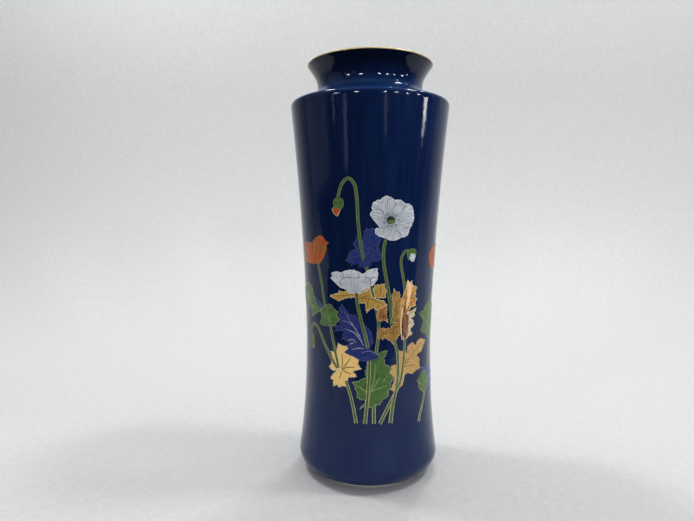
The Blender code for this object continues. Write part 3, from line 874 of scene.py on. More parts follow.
LEFT_GOLD_LEAF = (
    [(-16.4, 70.4), (-16, 74.6), (-16.4, 79.6)],
    [(-24, 80, 0.05), (-20.6, 80, 0), (-18.8, 85.2, 0.15), (-13.4, 84, 0), (-10, 78.8, 0), (-5.6, 77, 0.15),
     (-4.4, 71.6, 0.35), (-7.3, 67, 0.2), (-13.2, 63.6, 0), (-14, 61, 0.05), (-18.2, 60.2, 0.1),
     (-22, 60.2, 0.1), (-23.6, 64.2, 0), (-21, 67.8, 0.85), (-21.8, 69.6, 0), (-25.2, 71, 0.15),
     (-23.8, 76, 0.1)],
)
LEFT_GOLD_VEINS = [
    [(-16.2, 70.4), (-10.8, 77.2)],
    [(-16.2, 70.2), (-13, 71.8), (-8, 72.2)],
    [(-16.2, 70), (-13, 68.9), (-10.5, 68)],
    [(-16.4, 69.2), (-18, 64.5)],
]
CENTRE_GREEN_LEAF = (
    [(1, 53), (1.5, 57.4), (3.6, 65), (4.6, 75)],
    [(-0.2, 77, 0), (7.4, 80.6, 0), (11.4, 81.7, 0.15), (10, 75.4, 0.1), (13.8, 71.8, 0), (12, 68.4, 0),
     (9.2, 64.5, 0), (13.4, 67.6, 0), (16.2, 66.2, 0.1), (13.6, 60, 0.05), (12.2, 56.1, 0.1),
     (7, 51.4, 0.15), (2.6, 49.8, 0), (-1.8, 50.5, 0), (-4.4, 48.6, 0.2), (-1, 54, 0), (-3.4, 54, 0),
     (-6.2, 55.3, 0.1), (-7.6, 60, 0.1), (-9.4, 63.2, 0.1), (-3, 65.6, 0), (-0.3, 66, 0),
     (-1.3, 70.2, 0.1)],
)
CENTRE_GREEN_VEINS = [
    [(1.8, 58), (4.4, 62.4), (7.4, 67)],
    [(1.6, 58.4), (6.6, 60.2), (12, 62)],
    [(0.8, 57), (-3, 59.6), (-7, 62)],
]
CENTRE_GREEN_FAINT = [
    [(0.8, 56), (4.6, 55.2), (8.6, 54)],
    [(4.4, 69.6), (6.6, 75), (9, 79.4)],
]
RIGHT_GOLD_LEAF = (
    [(18, 61.6), (22, 70), (29, 78), (39, 84)],
    [(20, 81.2, 0.05), (22.6, 81, 0), (25.7, 78.4, 0), (26.2, 82.6, 0), (29.6, 84.9, 0.5), (34.2, 84.6, 0),
     (38, 86.4, 0.05), (43.8, 85, 0.1), (39, 79.7, 0), (33.1, 77.4, 0), (36.6, 74.1, 0.1),
     (36.9, 69.5, 0.05), (30, 67.2, 0.05), (24.3, 67.8, 0), (21.8, 61.8, 0), (17, 58.4, 0),
     (14.6, 59.4, 0), (16.9, 65.8, 0), (14.2, 67.2, 0), (13.7, 70, 0), (15, 72.7, 0), (19.7, 73, 0)],
)
RIGHT_GOLD_VEINS = [
    [(23, 71.5), (28, 72), (33.4, 71.4)],
    [(24, 73.4), (24.6, 77)],
    [(30, 79), (30.2, 82.6)],
]
ORANGE_POPPY = [
    (-50.5, 142.4, 1.8), (-38.4, 142.8, 1.6), (-29.4, 147.8, 0.4), (-27, 145.2, 0), (-24, 144, 0),
    (-26.4, 142.6, 1.8), (-33, 131.9, 0.5), (-48, 132.6, 1),
]
ORANGE_POPPY_FOLDS = [
    [(-38.2, 143.7), (-38.4, 140), (-40.6, 136)],
    [(-28, 145), (-30, 141), (-32.4, 134.4)],
    [(-34, 145.6), (-34.6, 138)],
]
FAR_GREEN_LEAF = (
    [(-34, 103.8), (-41, 105.6), (-46, 110), (-54, 113.6)],
    [(-59, 116, 0), (-45.6, 119.4, 0.05), (-42, 117.7, 0), (-39.6, 112, 0), (-37.4, 108, 0),
     (-31.4, 104, 0), (-37.8, 101.4, 0), (-42.5, 99.3, 0.1), (-44, 104.4, 0), (-48, 107, 0.05),
     (-54, 106, 0.05), (-60, 110, 0.05)],
)
FAR_GREEN_VEINS = [
    [(-42, 106.4), (-43, 103)],
    [(-44, 108), (-45.4, 117)],
    [(-47, 110.8), (-56, 111)],
]
BLUE_SLIVER = [(-39.4, 112, 0.3), (-30.8, 106.4, 0.3), (-36.6, 104.6, 0)]
POINTED_GREEN_LEAF = (
    [(-25.6, 96.5), (-26, 101), (-26.6, 106)],
    [(-29.4, 106, 0), (-26.6, 107.3, 0), (-23.8, 107.3, 0.15), (-19, 103.8, 0.25), (-18, 99.4, 0.12),
     (-20.6, 96.4, 0), (-30, 95.4, 0), (-33.4, 96.2, 0.2), (-32.2, 102.8, 0)],
)
POINTED_GREEN_VEINS = [
    [(-26.2, 99), (-22.6, 103.6)],
    [(-26.2, 98.4), (-30.6, 102.6)],
    [(-26, 97.4), (-22, 98.6)],
]
FAR_ORANGE_POPPY = [
    (-88.2, 138.2, 3), (-79.6, 143.6, 2.2), (-70.4, 142.8, 2.8), (-63.8, 138, 1.4), (-72, 131, 0.4),
    (-82, 131.2, 1.2),
]
FAR_ORANGE_FOLDS = [
    [(-79.6, 143.6), (-77.8, 134.6)],
    [(-70.4, 142.8), (-73.8, 134.4)],
    [(-84.6, 144), (-81.4, 135)],
]
LOBED_LEAF = (
    [(-82, 89), (-82.4, 98), (-83, 109)],
    [(-93.8, 95.4, 0.3), (-96, 106, 0.1), (-90, 108.6, 0), (-83, 111.4, 0.15), (-72, 107, 0.15),
     (-70.6, 99.6, 0.1), (-75, 94, 0.05), (-82, 88, 0.05), (-89.6, 92.6, 0)],
)
LOBED_LEAF_VEINS = [
    [(-82.2, 94), (-87, 99), (-94, 105)],
    [(-82.2, 94), (-78, 99), (-73.6, 105.4)],
    [(-82, 92), (-87, 93.8), (-92.4, 95.8)],
    [(-82, 92), (-77, 94.4), (-72.4, 99)],
]
FAR_BLUE_LEAF = (
    [(-88, 63.6), (-80, 63), (-72.4, 59.4)],
    [(-94, 72.8, 0.1), (-86, 72, 0.1), (-79, 68.6, 0.1), (-72.4, 63.6, 0), (-70.8, 58.2, 0.1),
     (-79, 55.2, 0.1), (-87, 59, 0), (-90.8, 66.8, 0.1)],
)
FAR_BLUE_VEINS = [
    [(-85.6, 64.6), (-91, 72.2)],
    [(-82.6, 64.2), (-81, 69.4)],
    [(-80.4, 63.4), (-79.6, 57)],
]
ROUND_LEAF = (
    [(-90, 58.4), (-91, 67.6)],
    [(-97.2, 65.8, 0.08), (-93.2, 69.2, 0.08), (-88.2, 69.4, 0.08), (-84.2, 64.6, 0.1), (-85.4, 59, 0.1),
     (-90.6, 57.2, 0.1), (-95.2, 60.8, 0.08)],
)
ROUND_LEAF_VEINS = [
    [(-90.2, 60), (-96, 65)],
    [(-90.2, 60), (-85.6, 64.4)],
]
NODDING_CALYX = [
    (-19.4, 168.4, 1.1), (-14.6, 168.6, 0.5), (-14.4, 164.4, 0.2), (-16, 163.4, -0.3),
    (-19.4, 163.8, 0.5),
]
NODDING_TIP = [(-19.4, 164.6, 0), (-15.4, 164, 0.2), (-18, 159.2, 0), (-20.4, 161.4, 0.1), (-20.9, 163.6, 0)]
WHITE_BUD_CALYX = [
    (23.4, 138.6, 1.7), (29.6, 139.6, 0.2), (29.4, 137.4, -0.4), (25.6, 138.2, -0.2), (24.6, 134.2, 0.6),
]
WHITE_BUD_PETALS = [
    (25, 138.4, 0), (29.7, 137.8, 0.4), (28.4, 133.3, 0.1), (26.4, 133.4, 0.1), (24.9, 135.2, 0.1),
]
DROOPING_BUD = [(-43.6, 88, 0.4), (-40.6, 87.6, 0.5), (-40, 80.8, 0.5), (-43.4, 80.2, 0.9)]

# Stems, as (across, up, width).
NODDING_STEM = [
    (-17.1, 170, 1.7), (-16.4, 172.6, 1.7), (-14.6, 177.4, 1.7), (-11, 180.3, 1.7), (-8, 177.4, 1.7),
    (-6.6, 170, 1.7), (-6, 157, 1.7), (-4.6, 144, 1.7), (-2.8, 135, 1.7), (-1, 129, 1.7), (2.6, 115, 1.7),
    (4.8, 106, 1.7), (6.2, 98, 1.9), (5.8, 88, 1.9), (4.8, 80, 1.9), (3.8, 60, 2), (3.6, 40, 2.2),
]
WHITE_BUD_STEM = [
    (24.4, 139.6, 1.2), (23, 139.8, 1.3), (21.4, 139, 1.5), (19.8, 136.6, 1.6), (19.2, 133, 1.7),
    (20.4, 127, 1.7), (22.4, 118, 1.7), (23.6, 106, 1.7), (23.6, 88, 1.7), (23.2, 80, 1.8), (20.6, 64, 2),
    (17, 57, 2), (13, 50.4, 2), (7.2, 40, 2),
]
WHITE_POPPY_STEM = [
    (9.4, 146.2, 1.7), (8.4, 140, 1.8), (8.7, 132, 1.9), (10.6, 122, 1.9), (12.4, 113, 2), (13.8, 104, 2),
    (14.4, 97, 2.2),
]
LOWER_POPPY_STEM = [
    (16, 88.4, 1.6), (18.4, 80, 1.8), (18.9, 72, 2), (18, 61, 2), (15.4, 51, 2.2), (13.6, 40, 2.4),
]
SIDE_POPPY_STEM = [(-7.1, 115.4, 2), (-6.4, 109, 2), (-4.2, 99, 2), (-1.8, 91, 2), (-0.2, 83.6, 2)]
CENTRE_STEM = [(0.8, 77.8, 2), (0.4, 64, 2), (-0.6, 50, 2), (-1.6, 40, 2.2)]
LEFT_LEAF_STEM = [(-13.6, 64, 1.8), (-11.2, 57.6, 1.8), (-9.2, 51, 1.9), (-6.8, 40, 2)]
ORANGE_STEM = [(-33.8, 132.2, 2), (-32.4, 126.4, 1.8), (-31, 120, 1.8), (-30, 113, 1.8), (-28.8, 106, 1.8)]
POINTED_STEM = [(-25, 97, 1.8), (-24.4, 94, 1.8), (-22, 84, 1.7), (-18.6, 71, 1.6)]
DROOPING_STEM = [
    (-42.4, 87.4, 1.5), (-43.4, 91, 1.6), (-42.4, 93.8, 1.8), (-40, 95, 1.8), (-36.8, 94, 1.8),
    (-33.2, 90, 1.8), (-30, 85, 1.8), (-25.6, 78.6, 1.8), (-19.6, 70.8, 1.8),
]
LOBED_STEM = [(-76, 131, 1.9), (-78, 121, 1.9), (-81.6, 108.4, 1.9)]
LOBED_LOW_STEM = [(-82, 89, 1.9), (-82.6, 80, 1.9), (-83, 71, 1.9)]
ROUND_STEM = [(-88.6, 59, 2), (-91, 53, 2), (-94.4, 47.5, 2), (-97.4, 41.5, 2.2)]


def rimmed(layer, fill, rim, width, *shape):
    """A film with a rim."""
    return [("film", layer, fill, *shape), ("edge", layer, rim, width, *shape)]


def petals(layer, colours, shape, folds, rim_width=0.28, fold_width=0.36, style="ruffled"):
    """A film with a rim and fold lines, in three colours."""
    fill, rim, line = colours
    return rimmed(layer, fill, rim, rim_width, shape, style) + [("line", layer, line, fold_width, *folds)]


def leaf(layer, colours, shape, veins, rim_width=0.3, vein_width=0.35):
    """A leaf's film with its rim, rib and veins."""
    return petals(layer, colours, shape, [shape[0], *veins], rim_width, vein_width, "leaf")


def green_leaf(layer, shape, veins):
    return leaf(layer, ("leaf_green", "green_gold", "green_gold"), shape, veins, 0.24, 0.3)


def stem(layer, route):
    """A green stem with a thin gold line down each side."""
    sides = [("side", layer, "stem_edge", route, way, STEM_LINE) for way in (-1, 1)]
    return [("stem", layer, "stem_green", route), *sides]


def stamens():
    """Dots and short strokes in a loose ring round the pod of the open flower."""
    dots, strokes = [], []
    for k in range(STAMENS):
        turn = 2 * pi * k / STAMENS + 0.07 * sin(5.0 * k)
        reach = 3.9 + 0.8 * sin(2.4 * k) + 0.4 * sin(5.3 * k + 1)
        foot, tip = [
            (POPPY_CENTRE[0] + r * cos(turn), POPPY_CENTRE[1] + r * sin(turn)) for r in (STAMEN_FOOT, reach)
        ]
        dots.append((*tip, 0.25))
        strokes.append([foot, tip])
    return dots, strokes[::2]


def poppy_centre():
    """The round pod with its dark side, seeds and glints, in a ring of stamens."""
    x, y = POPPY_CENTRE
    pod = [(x - 2.5, y, 2.3), (x + 2.5, y, 2.3)]
    dark_side = [(x - 2.2, y + 0.2, 2), (x + 2.3, y + 0.4, 0.3)]
    seeds = [(-0.3, -0.8, 0.3), (0.8, -0.5, 0.35), (0.2, -1.5, 0.3), (1.5, -1.2, 0.3)]
    glints = [(3.3, -0.2, 0.35), (3.2, -1.7, 0.35), (3.9, 1.6, 0.3), (4.2, -0.8, 0.3)]
    dots, strokes = stamens()
    return [
        ("film", 3, "leaf_green", pod),
        ("film", 4, "dark_green", dark_side),
        ("line", 3, "petal_line", 0.16, *strokes),
        ("dot", 3, "dark_dot", dots),
        ("dot", 4, "pale_green", [(x + across, y + up, radius) for across, up, radius in seeds]),
        ("dot", 5, "petal_rim", [(x + across, y + up, radius) for across, up, radius in glints]),
    ]


def in_slot(slot, **shapes):
    """Pieces that share a record slot: the name of each, the slot and its parts."""
    return [(name, slot, parts) for name, parts in shapes.items()]


def poppies():
    white = ("petal_white", "petal_rim", "petal_line")
    orange = ("petal_orange", "orange_rim", "red_line")
    return (
        in_slot("white_enamel", white_poppy=petals(2, white, WHITE_POPPY, WHITE_POPPY_FOLDS))
        + in_slot("green_enamel", white_poppy_centre=poppy_centre())
        + in_slot("white_enamel", side_poppy=petals(3, white, SIDE_POPPY, SIDE_POPPY_FOLDS))
        + in_slot(
            "orange_enamel",
            orange_poppy=petals(1, orange, ORANGE_POPPY, ORANGE_POPPY_FOLDS),
            far_orange_poppy=petals(1, orange, FAR_ORANGE_POPPY, FAR_ORANGE_FOLDS),
        )
    )


def blue_leaves():
    dark = ("leaf_violet", "violet_line", "violet_line")
    middle = ("leaf_violet", "violet_line", "lavender_line")
    light = ("leaf_violet", "lavender_line", "lavender_line")
    upper = leaf(0, dark, UPPER_BLUE_LEAF, UPPER_BLUE_VEINS, 0.2, 0.25)
    upper += [("film", 2, "leaf_violet", UPPER_BLUE_LOBE), ("dot", 2, "dark_dot", [UPPER_BLUE_HOLE])]
    lower = leaf(2, middle, LOWER_BLUE_LEAF, LOWER_BLUE_VEINS, 0.3, 0.5)
    lower += [("line", 5, "cream_line", 0.5, *LOWER_BLUE_GLEAMS)]
    lower += petals(5, middle, LOWER_BLUE_LOBE, LOWER_BLUE_LOBE_VEINS, 0.3, 0.4, "petal")
    far = leaf(1, light, FAR_BLUE_LEAF, FAR_BLUE_VEINS, 0.16, 0.3)
    return in_slot("violet_enamel", upper_blue_leaf=upper, lower_blue_leaf=lower, far_blue_leaf=far)


def gold_leaves():
    olive = ("olive_gold", "gold_line", "brown_line")
    side = leaf(2, olive, SIDE_GOLD_LEFT, []) + leaf(2, olive, SIDE_GOLD_RIGHT, [])
    side += leaf(3, olive, SIDE_GOLD_MAIN, SIDE_GOLD_VEINS)
    big = []
    for layer, fill, rim, shape, veins in (
        (2, "amber_gold", "tan_edge", BIG_GOLD_LOW, BIG_GOLD_LOW_VEINS),
        (2, "orange_gold", "tan_edge", BIG_GOLD_LEFT, []),
        (2, "pale_glint", "gold_line", BIG_GOLD_RIGHT, BIG_GOLD_RIGHT_VEINS),
        (3, "amber_gold", "tan_edge", BIG_GOLD_MIDDLE, BIG_GOLD_MIDDLE_VEINS),
        (4, "bright_gold", "gold_line", BIG_GOLD_TOP, BIG_GOLD_TOP_VEINS),
    ):
        big += leaf(layer, (fill, rim, "brown_line"), shape, veins)
    # Painted reflections on the big gold leaf: the glint stripe and the rib drawn in the same colour, the
    # pale glint over its right lobes, and the dark strip.
    big += [
        ("film", 5, "glint", BIG_GOLD_GLINT),
        ("film", 5, "brown_gold", BIG_GOLD_SHADE),
        ("line", 5, "glint", 0.75, BIG_GOLD_RIB),
    ]
    # Painted light and shade: the left gold leaf has a lightened copy of the gold and the right gold leaf a
    # darkened copy.
    left = leaf(0, ("pale_gold", "gold_line", "tan_line"), LEFT_GOLD_LEAF, LEFT_GOLD_VEINS, 0.34, 0.6)
    right = leaf(0, ("tan_gold", "tan_edge", "brown_line"), RIGHT_GOLD_LEAF, RIGHT_GOLD_VEINS)
    return in_slot("gold", side_gold_leaf=side, big_gold_leaf=big, left_gold_leaf=left, right_gold_leaf=right)


def green_leaves():
    pale_veined = ("leaf_green", "green_gold", "pale_green")
    centre = leaf(2, pale_veined, CENTRE_GREEN_LEAF, CENTRE_GREEN_VEINS, 0.34, 0.5)
    centre += [("line", 2, "green_line", 0.45, *CENTRE_GREEN_FAINT)]
    far = green_leaf(1, FAR_GREEN_LEAF, FAR_GREEN_VEINS)
    far += rimmed(0, "leaf_violet", "lavender_line", 0.3, BLUE_SLIVER)
    lobed = stem(0, LOBED_STEM) + stem(0, LOBED_LOW_STEM)
    return in_slot(
        "green_enamel",
        centre_green_leaf=centre,
        far_green_leaf=far,
        pointed_green_leaf=stem(1, POINTED_STEM) + green_leaf(2, POINTED_GREEN_LEAF, POINTED_GREEN_VEINS),
        lobed_leaf=lobed + green_leaf(1, LOBED_LEAF, LOBED_LEAF_VEINS),
        round_leaf=stem(2, ROUND_STEM) + green_leaf(3, ROUND_LEAF, ROUND_LEAF_VEINS),
    )


def buds():
    nodding = stem(1, NODDING_STEM) + rimmed(2, "leaf_green", "stem_edge", 0.3, NODDING_CALYX)
    nodding_tip = rimmed(0, "petal_orange", "gold_line", 0.24, NODDING_TIP)
    white = stem(1, WHITE_BUD_STEM) + rimmed(2, "leaf_green", "stem_edge", 0.26, WHITE_BUD_CALYX)
    white_petals = rimmed(0, "petal_white", "petal_line", 0.2, WHITE_BUD_PETALS)
    drooping = stem(2, DROOPING_STEM) + rimmed(3, "leaf_green", "stem_edge", 0.26, DROOPING_BUD)
    return (
        in_slot("green_enamel", nodding_bud_stem=nodding)
        + in_slot("orange_enamel", nodding_bud_tip=nodding_tip)
        + in_slot("green_enamel", white_bud_stem=white)
        + in_slot("white_enamel", white_bud_petals=white_petals)
        + in_slot("green_enamel", drooping_bud=drooping)
    )


def bare_stems():
    return in_slot(
        "green_enamel",
        white_poppy_stem=stem(3, WHITE_POPPY_STEM),
        lower_poppy_stem=stem(3, LOWER_POPPY_STEM),
        side_poppy_stem=stem(4, SIDE_POPPY_STEM),
        centre_stem=stem(3, CENTRE_STEM),
        left_gold_leaf_stem=stem(1, LEFT_LEAF_STEM),
        orange_poppy_stem=stem(0, ORANGE_STEM),
    )


# Enamels: light and dark colour, then where they differ from enamel()'s own: roughness, streak and tint.
ENAMELS = {
    "petal_line": ((0.10, 0.11, 0.17), (0.05, 0.055, 0.10), 0.35),
    "dark_dot": ((0.03, 0.04, 0.05), (0.015, 0.02, 0.03), 0.3),
    "petal_orange": ((0.50, 0.110, 0.012), (0.34, 0.050, 0.008), 0.34, (0.35, 0.1), (0.26, 0.13, 0.02)),
    "orange_rim": ((0.56, 0.20, 0.04), (0.34, 0.09, 0.015), 0.34),
    "petal_rim": ((0.88, 0.89, 0.91), (0.66, 0.69, 0.74), 0.3),
    "red_line": ((0.22, 0.03, 0.01), (0.14, 0.02, 0.01), 0.3),
    "leaf_green": ((0.085, 0.185, 0.045), (0.042, 0.110, 0.024), 0.28, (0.3, 0.2), (0.060, 0.150, 0.026)),
    "dark_green": ((0.025, 0.050, 0.026), (0.010, 0.018, 0.016), 0.3),
    "leaf_violet": ((0.022, 0.045, 0.215), (0.011, 0.021, 0.115), 0.25, (0.4, 0.3)),
    "violet_line": ((0.12, 0.13, 0.33), (0.02, 0.03, 0.12), 0.3, (0.10, 0.12)),
    "cream_line": ((0.42, 0.44, 0.48), (0.20, 0.21, 0.30), 0.3),
    "pale_green": ((0.34, 0.42, 0.16), (0.20, 0.28, 0.10), 0.3),
    "green_line": ((0.16, 0.25, 0.08), (0.09, 0.16, 0.05), 0.3),
    "lavender_line": ((0.22, 0.23, 0.42), (0.11, 0.12, 0.28), 0.3),
    "stem_green": ((0.085, 0.155, 0.052), (0.042, 0.088, 0.030), 0.28, (1.2, 0.06)),
    "glint": ((1.0, 0.84, 0.54), (0.84, 0.42, 0.13), 0.25, (1.3, 0.07)),
    "pale_glint": ((0.80, 0.74, 0.60), (0.42, 0.34, 0.16), 0.25, (0.6, 0.35)),
    "green_gold": ((0.46, 0.50, 0.28), (0.10, 0.15, 0.05), 0.32, (0.12, 0.12)),
    "tan_line": ((0.30, 0.16, 0.045), (0.18, 0.09, 0.02), 0.35),
    "brown_line": ((0.16, 0.08, 0.02), (0.07, 0.035, 0.012), 0.35),
}

# Golds: light and dark colour, roughness, streak, tint and how metallic they are.
GOLDS = {
    "gold_line": ((1.0, 0.86, 0.56), (0.66, 0.47, 0.20), 0.35, (0.3, 0.12), None, 0.2),
    # Painted light and shade: the next two are a lightened and a darkened copy of the same leaf gold.
    "pale_gold": ((1.0, 0.74, 0.27), (0.90, 0.57, 0.17), 0.45, (0.3, 0.3), (1.0, 0.60, 0.22), 0.2),
    "tan_gold": ((0.70, 0.46, 0.16), (0.50, 0.31, 0.10), 0.45, (0.3, 0.3), (0.56, 0.31, 0.11), 0.4),
    "olive_gold": ((0.62, 0.42, 0.09), (0.34, 0.21, 0.03), 0.40, (0.5, 0.2), (0.66, 0.30, 0.08), 0.3),
    "amber_gold": ((0.62, 0.39, 0.10), (0.10, 0.05, 0.012), 0.34, (0.9, 0.15), (0.52, 0.19, 0.045), 0.4),
    "orange_gold": ((0.60, 0.27, 0.08), (0.18, 0.065, 0.02), 0.34, (0.3, 0.15), None, 0.4),
    "bright_gold": ((0.92, 0.48, 0.14), (0.42, 0.17, 0.035), 0.30, (0.6, 0.06), None, 0.4),
    # brown_gold: a painted reflection of the dark room in the big leaf's gold.
    "brown_gold": ((0.46, 0.19, 0.08), (0.065, 0.018, 0.008), 0.40, (1.6, 0.5), (0.16, 0.045, 0.015), 0.2),
    "tan_edge": ((0.80, 0.58, 0.30), (0.42, 0.26, 0.10), 0.35, (0.3, 0.12), None, 0.2),
}


def print_materials():
    made = {name: enamel(name, *look) for name, look in ENAMELS.items()}
    made |= {name: print_gold(name, *look) for name, look in GOLDS.items()}
    return made | {"petal_white": petal_white(), "stem_edge": stem_edge()}


# The pieces ---------------------------------------------------------------------------------------


def make_shell():
    """The white body with its foot and hollow, the blue coat over its outside and the gold on its lip."""
    outside = outer_profile()
    under_glaze = [p for p in offset(outside, COAT) if GLAZE_START + 0.3 < p[1] < HEIGHT - 0.75]
    foot = FOOT_RADIUS - COAT
    lip, top = RIM_RADIUS - GILT - 0.1, HEIGHT - GILT - 0.1
    recess = FOOT_RING_INNER - 1.1
    flat = (recess - 3, RECESS_DEPTH)
    inner = (FOOT_RING_INNER, 0.4)
    underside = [(0.0, RECESS_DEPTH), flat]
    underside += bezier(flat, (recess, RECESS_DEPTH), (recess, 2.0), inner, 8)
    ring = bezier(inner, (FOOT_RING_INNER + 0.1, 0.05), (31.0, 0.0), (31.6, 0.0), 4)
    ring += bezier((foot - 0.6, 0.0), (foot - 0.2, 0.0), (foot, 0.2), (foot, 0.6), 4)
    mouth = [(lip - 0.6, top - 0.15), (lip - 0.9, top), (lip - 2.2, top)]
    body = revolve(
        "porcelain_shell",
        underside + ring + under_glaze + mouth + inner_profile(),
        [white_glaze(), bare_porcelain()],
        lambda a, b: int(max(a[1], b[1]) < 3.0 and min(a[0], b[0]) > recess - 1),
    )
    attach(body, "root")
    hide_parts("porcelain_body")

    glaze = revolve("glaze_coat", outside + offset(outside, COAT - 0.1)[::-1], [cobalt_glaze()])
    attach(glaze, "root")
    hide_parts("cobalt_glaze")

    band = revolve("gold_band", gilding_section(), [rim_gold()])
    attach(band, "root")
    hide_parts("rim_gilding")


def gilding_section():
    """The gold film's cross-section: over the rounded lip and a little way down both sides."""
    low, top, wide, inner = HEIGHT - GILT_DEPTH, HEIGHT, RIM_RADIUS, RIM_RADIUS - LIP_WIDTH
    over = bezier((wide - 0.3, low), (wide, low + 0.3), (wide, top), (wide - 0.9, top), 10)
    over += [(wide - 1.5, top), (inner + 1.2, top)]
    over += bezier(over[-1], (inner + 0.2, top), (inner - 0.1, top - 0.4), (inner - 0.5, low + 0.2), 10)
    return over + offset(over, GILT)[::-1]


def make_prints():
    materials = print_materials()
    for family in (poppies, blue_leaves, gold_leaves, green_leaves, buds, bare_stems):
        for name, slot, parts in family():
            for obj in print_piece(name, parts, materials):
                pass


# The studio ---------------------------------------------------------------------------------------

# The camera: its distance and height in vase heights, its turns in degrees and its lens in millimetres.
CAMERA_DISTANCE = 1.3146
CAMERA_HEIGHT = 0.6304
CAMERA_PITCH = 4.685
CAMERA_YAW = -2.395
CAMERA_ROLL = 0.178
CAMERA_LENS = 27.04

# Places and sizes in metres, directions in degrees and powers in watts.
FLOOR_HALF_WIDTH = 3.0
FLOOR_FRONT = -3.0
COVE_START = 0.30
WALL_PLACE = 0.62
WALL_FOOT = 0.40
WALL_TOP = 2.2
WALL_LAMP_PLACE = (-0.45, 0.18, 0.95)
WALL_LAMP_WAY = (0.25, 0.44, -0.62)
WALL_LAMP_SIZE = 0.4
WALL_LAMP_POWER = 2.0

# The room seen in reflections: its brightness in front, behind and above, and as the camera sees it.
# An edge is where one brightness goes over into the next, as the cosine of the angle to its direction.
ROOM_TURN = 19
ROOM_EDGE = (0.22, 0.08)
CEILING_EDGE = (0.45, 0.75)
ROOM_COLOUR = (0.94, 0.97, 1.0, 1)
ROOM_FRONT = 0.015
ROOM_BACK = 0.34
CEILING = 0.34
WORLD_SEEN = 0.62

# Ceiling lamps: equal ones in front, and others as (name, azimuth, elevation, distance, size, power).
FRONT_LAMPS = ((-46, 12), (-18, 13), (20, 12), (36, 13), (52, 12), (70, 13))
FRONT_LAMP_DISTANCE = 2.0
FRONT_LAMP_SIZE = 0.11
FRONT_LAMP_POWER = 3.0
TOP_LAMPS = (
    ("right_top_lamp", 92, 58, 1.4, 0.20, 6.2),
    ("back_top_lamp", 162, 65, 1.4, 0.16, 4.4),
    ("left_top_lamp", -112, 62, 1.4, 0.14, 4.6),
    ("small_top_lamp", 118, 52, 1.4, 0.07, 1.0),
    ("small_side_lamp", 66, 38, 1.6, 0.07, 0.9),
)
WARM = (1.0, 0.985, 0.96)
COOL = (0.95, 0.98, 1.0)

# Black flags that keep the floor's glare off the front, and their heights above it.
BLACK = (0.01, 0.01, 0.012)
FLAG = (
    (-0.50, -0.13), (-0.20, -0.25), (0.25, -0.25), (0.55, -0.05), (4, 0.2), (4, -4), (-3.5, -4),
    (-3.5, -1.7),
)
FLAG_HEIGHT = 0.002
LIP_FLAG = ((-0.7, -0.6), (0.7, -0.6), (0.7, -0.02), (0.06, -0.06), (-0.06, -0.06), (-0.7, -0.02))
LIP_FLAG_HEIGHT = 0.13

# Glowing strips as (name, azimuth, low and high elevation, half width at each, colour, glow).
STRIP_EYE = 0.19
STRIP_DISTANCE = 2.0
STRIPS = (
    ("window", 82.5, 1.3, 5.8, 0.12, 3.4, (1.0, 0.93, 0.90), 22.0),
    ("door_gap", -51, 1, 5.5, 0.5, 1.0, COOL, 1.8),
    ("cupboard", 22, -1, 4, 1.0, 2.4, (1.0, 0.82, 0.78), 0.6),
    ("curtain", -34, -4, 4, 2.0, 3.0, COOL, 0.34),
)


def make_floor():
    """A pale sweep: a wide floor that curves up into a wall well behind the vase."""
    shader = Shader("pale_floor", roughness=0.6)
    place = shader.place()
    grain = shader.noise(place, 220, 4)
    colour = shader.mix(shader.spread(grain, 0.3, 0.7), (0.60, 0.61, 0.62), (0.66, 0.67, 0.68))
    shader.set("Base Color", colour)
    shader.bump(grain, 0.2, 0.0006)
    builder = bmesh.new()
    start, end = (COVE_START, 0.0), (WALL_PLACE, WALL_FOOT)
    section = [(FLOOR_FRONT, 0.0), start]
    section += bezier(start, (0.50, 0.0), (WALL_PLACE, 0.12), end, 24) + [(WALL_PLACE, WALL_TOP)]
    sides = (-FLOOR_HALF_WIDTH, FLOOR_HALF_WIDTH)
    left, right = [[builder.verts.new((side, y, z)) for y, z in section] for side in sides]
    for k in range(len(section) - 1):
        builder.faces.new((left[k], right[k], right[k + 1], left[k + 1]))
    floor = finished("studio_sweep", builder, [shader.material])


def direction(azimuth, elevation):
    """Azimuth 0 is in front of the vase and 90 to its right."""
    turn, rise = radians(azimuth), radians(elevation)
    return Vector((sin(turn) * cos(rise), -cos(turn) * cos(rise), sin(rise)))


def area_lamp(name, size, power, colour, place, way):
    """A square lamp at a place that shines one way and isn't seen itself."""
    data = bpy.data.lights.new(name, "AREA")
    data.size = size
    data.energy = power
    data.color = colour
    lamp = bpy.data.objects.new(name, data)
    lamp.location = place
    lamp.rotation_euler = way.to_track_quat("-Z", "Y").to_euler()
    lamp.visible_camera = False
    bpy.context.scene.collection.objects.link(lamp)
    return lamp


def make_wall_lamp():
    """A broad lamp beside the vase that lights the backdrop and leaves no reflection."""
    way = Vector(WALL_LAMP_WAY)
    lamp = area_lamp("wall_lamp", WALL_LAMP_SIZE, WALL_LAMP_POWER, (1, 1, 1), WALL_LAMP_PLACE, way)
    lamp.visible_glossy = False


def make_lamp(name, azimuth, elevation, distance, size, power):
    """A warm ceiling lamp that faces the middle of the vase."""
    towards = direction(azimuth, elevation)
    middle = Vector((0, 0, HEIGHT * MM / 2))
    area_lamp(name, size, power, WARM, middle + towards * distance, -towards)


def make_card(name, corners, colour, glow=0.0):
    """A flat card that only shows in reflections: a black flag, or a panel that glows."""
    material = bpy.data.materials.new(name)
    material.use_nodes = True
    shader = material.node_tree.nodes["Principled BSDF"]
    shader.inputs["Base Color"].default_value = (*colour, 1)
    shader.inputs["Emission Color"].default_value = (*colour, 1)
    shader.inputs["Emission Strength"].default_value = glow
    shader.inputs["Specular IOR Level"].default_value = 0.0
    mesh = bpy.data.meshes.new(name)
    mesh.from_pydata([tuple(c) for c in corners], [], [tuple(range(len(corners)))])
    mesh.materials.append(material)
    card = bpy.data.objects.new(name, mesh)
    bpy.context.scene.collection.objects.link(card)
    card.visible_camera = False
    card.visible_shadow = False
    card.visible_diffuse = False


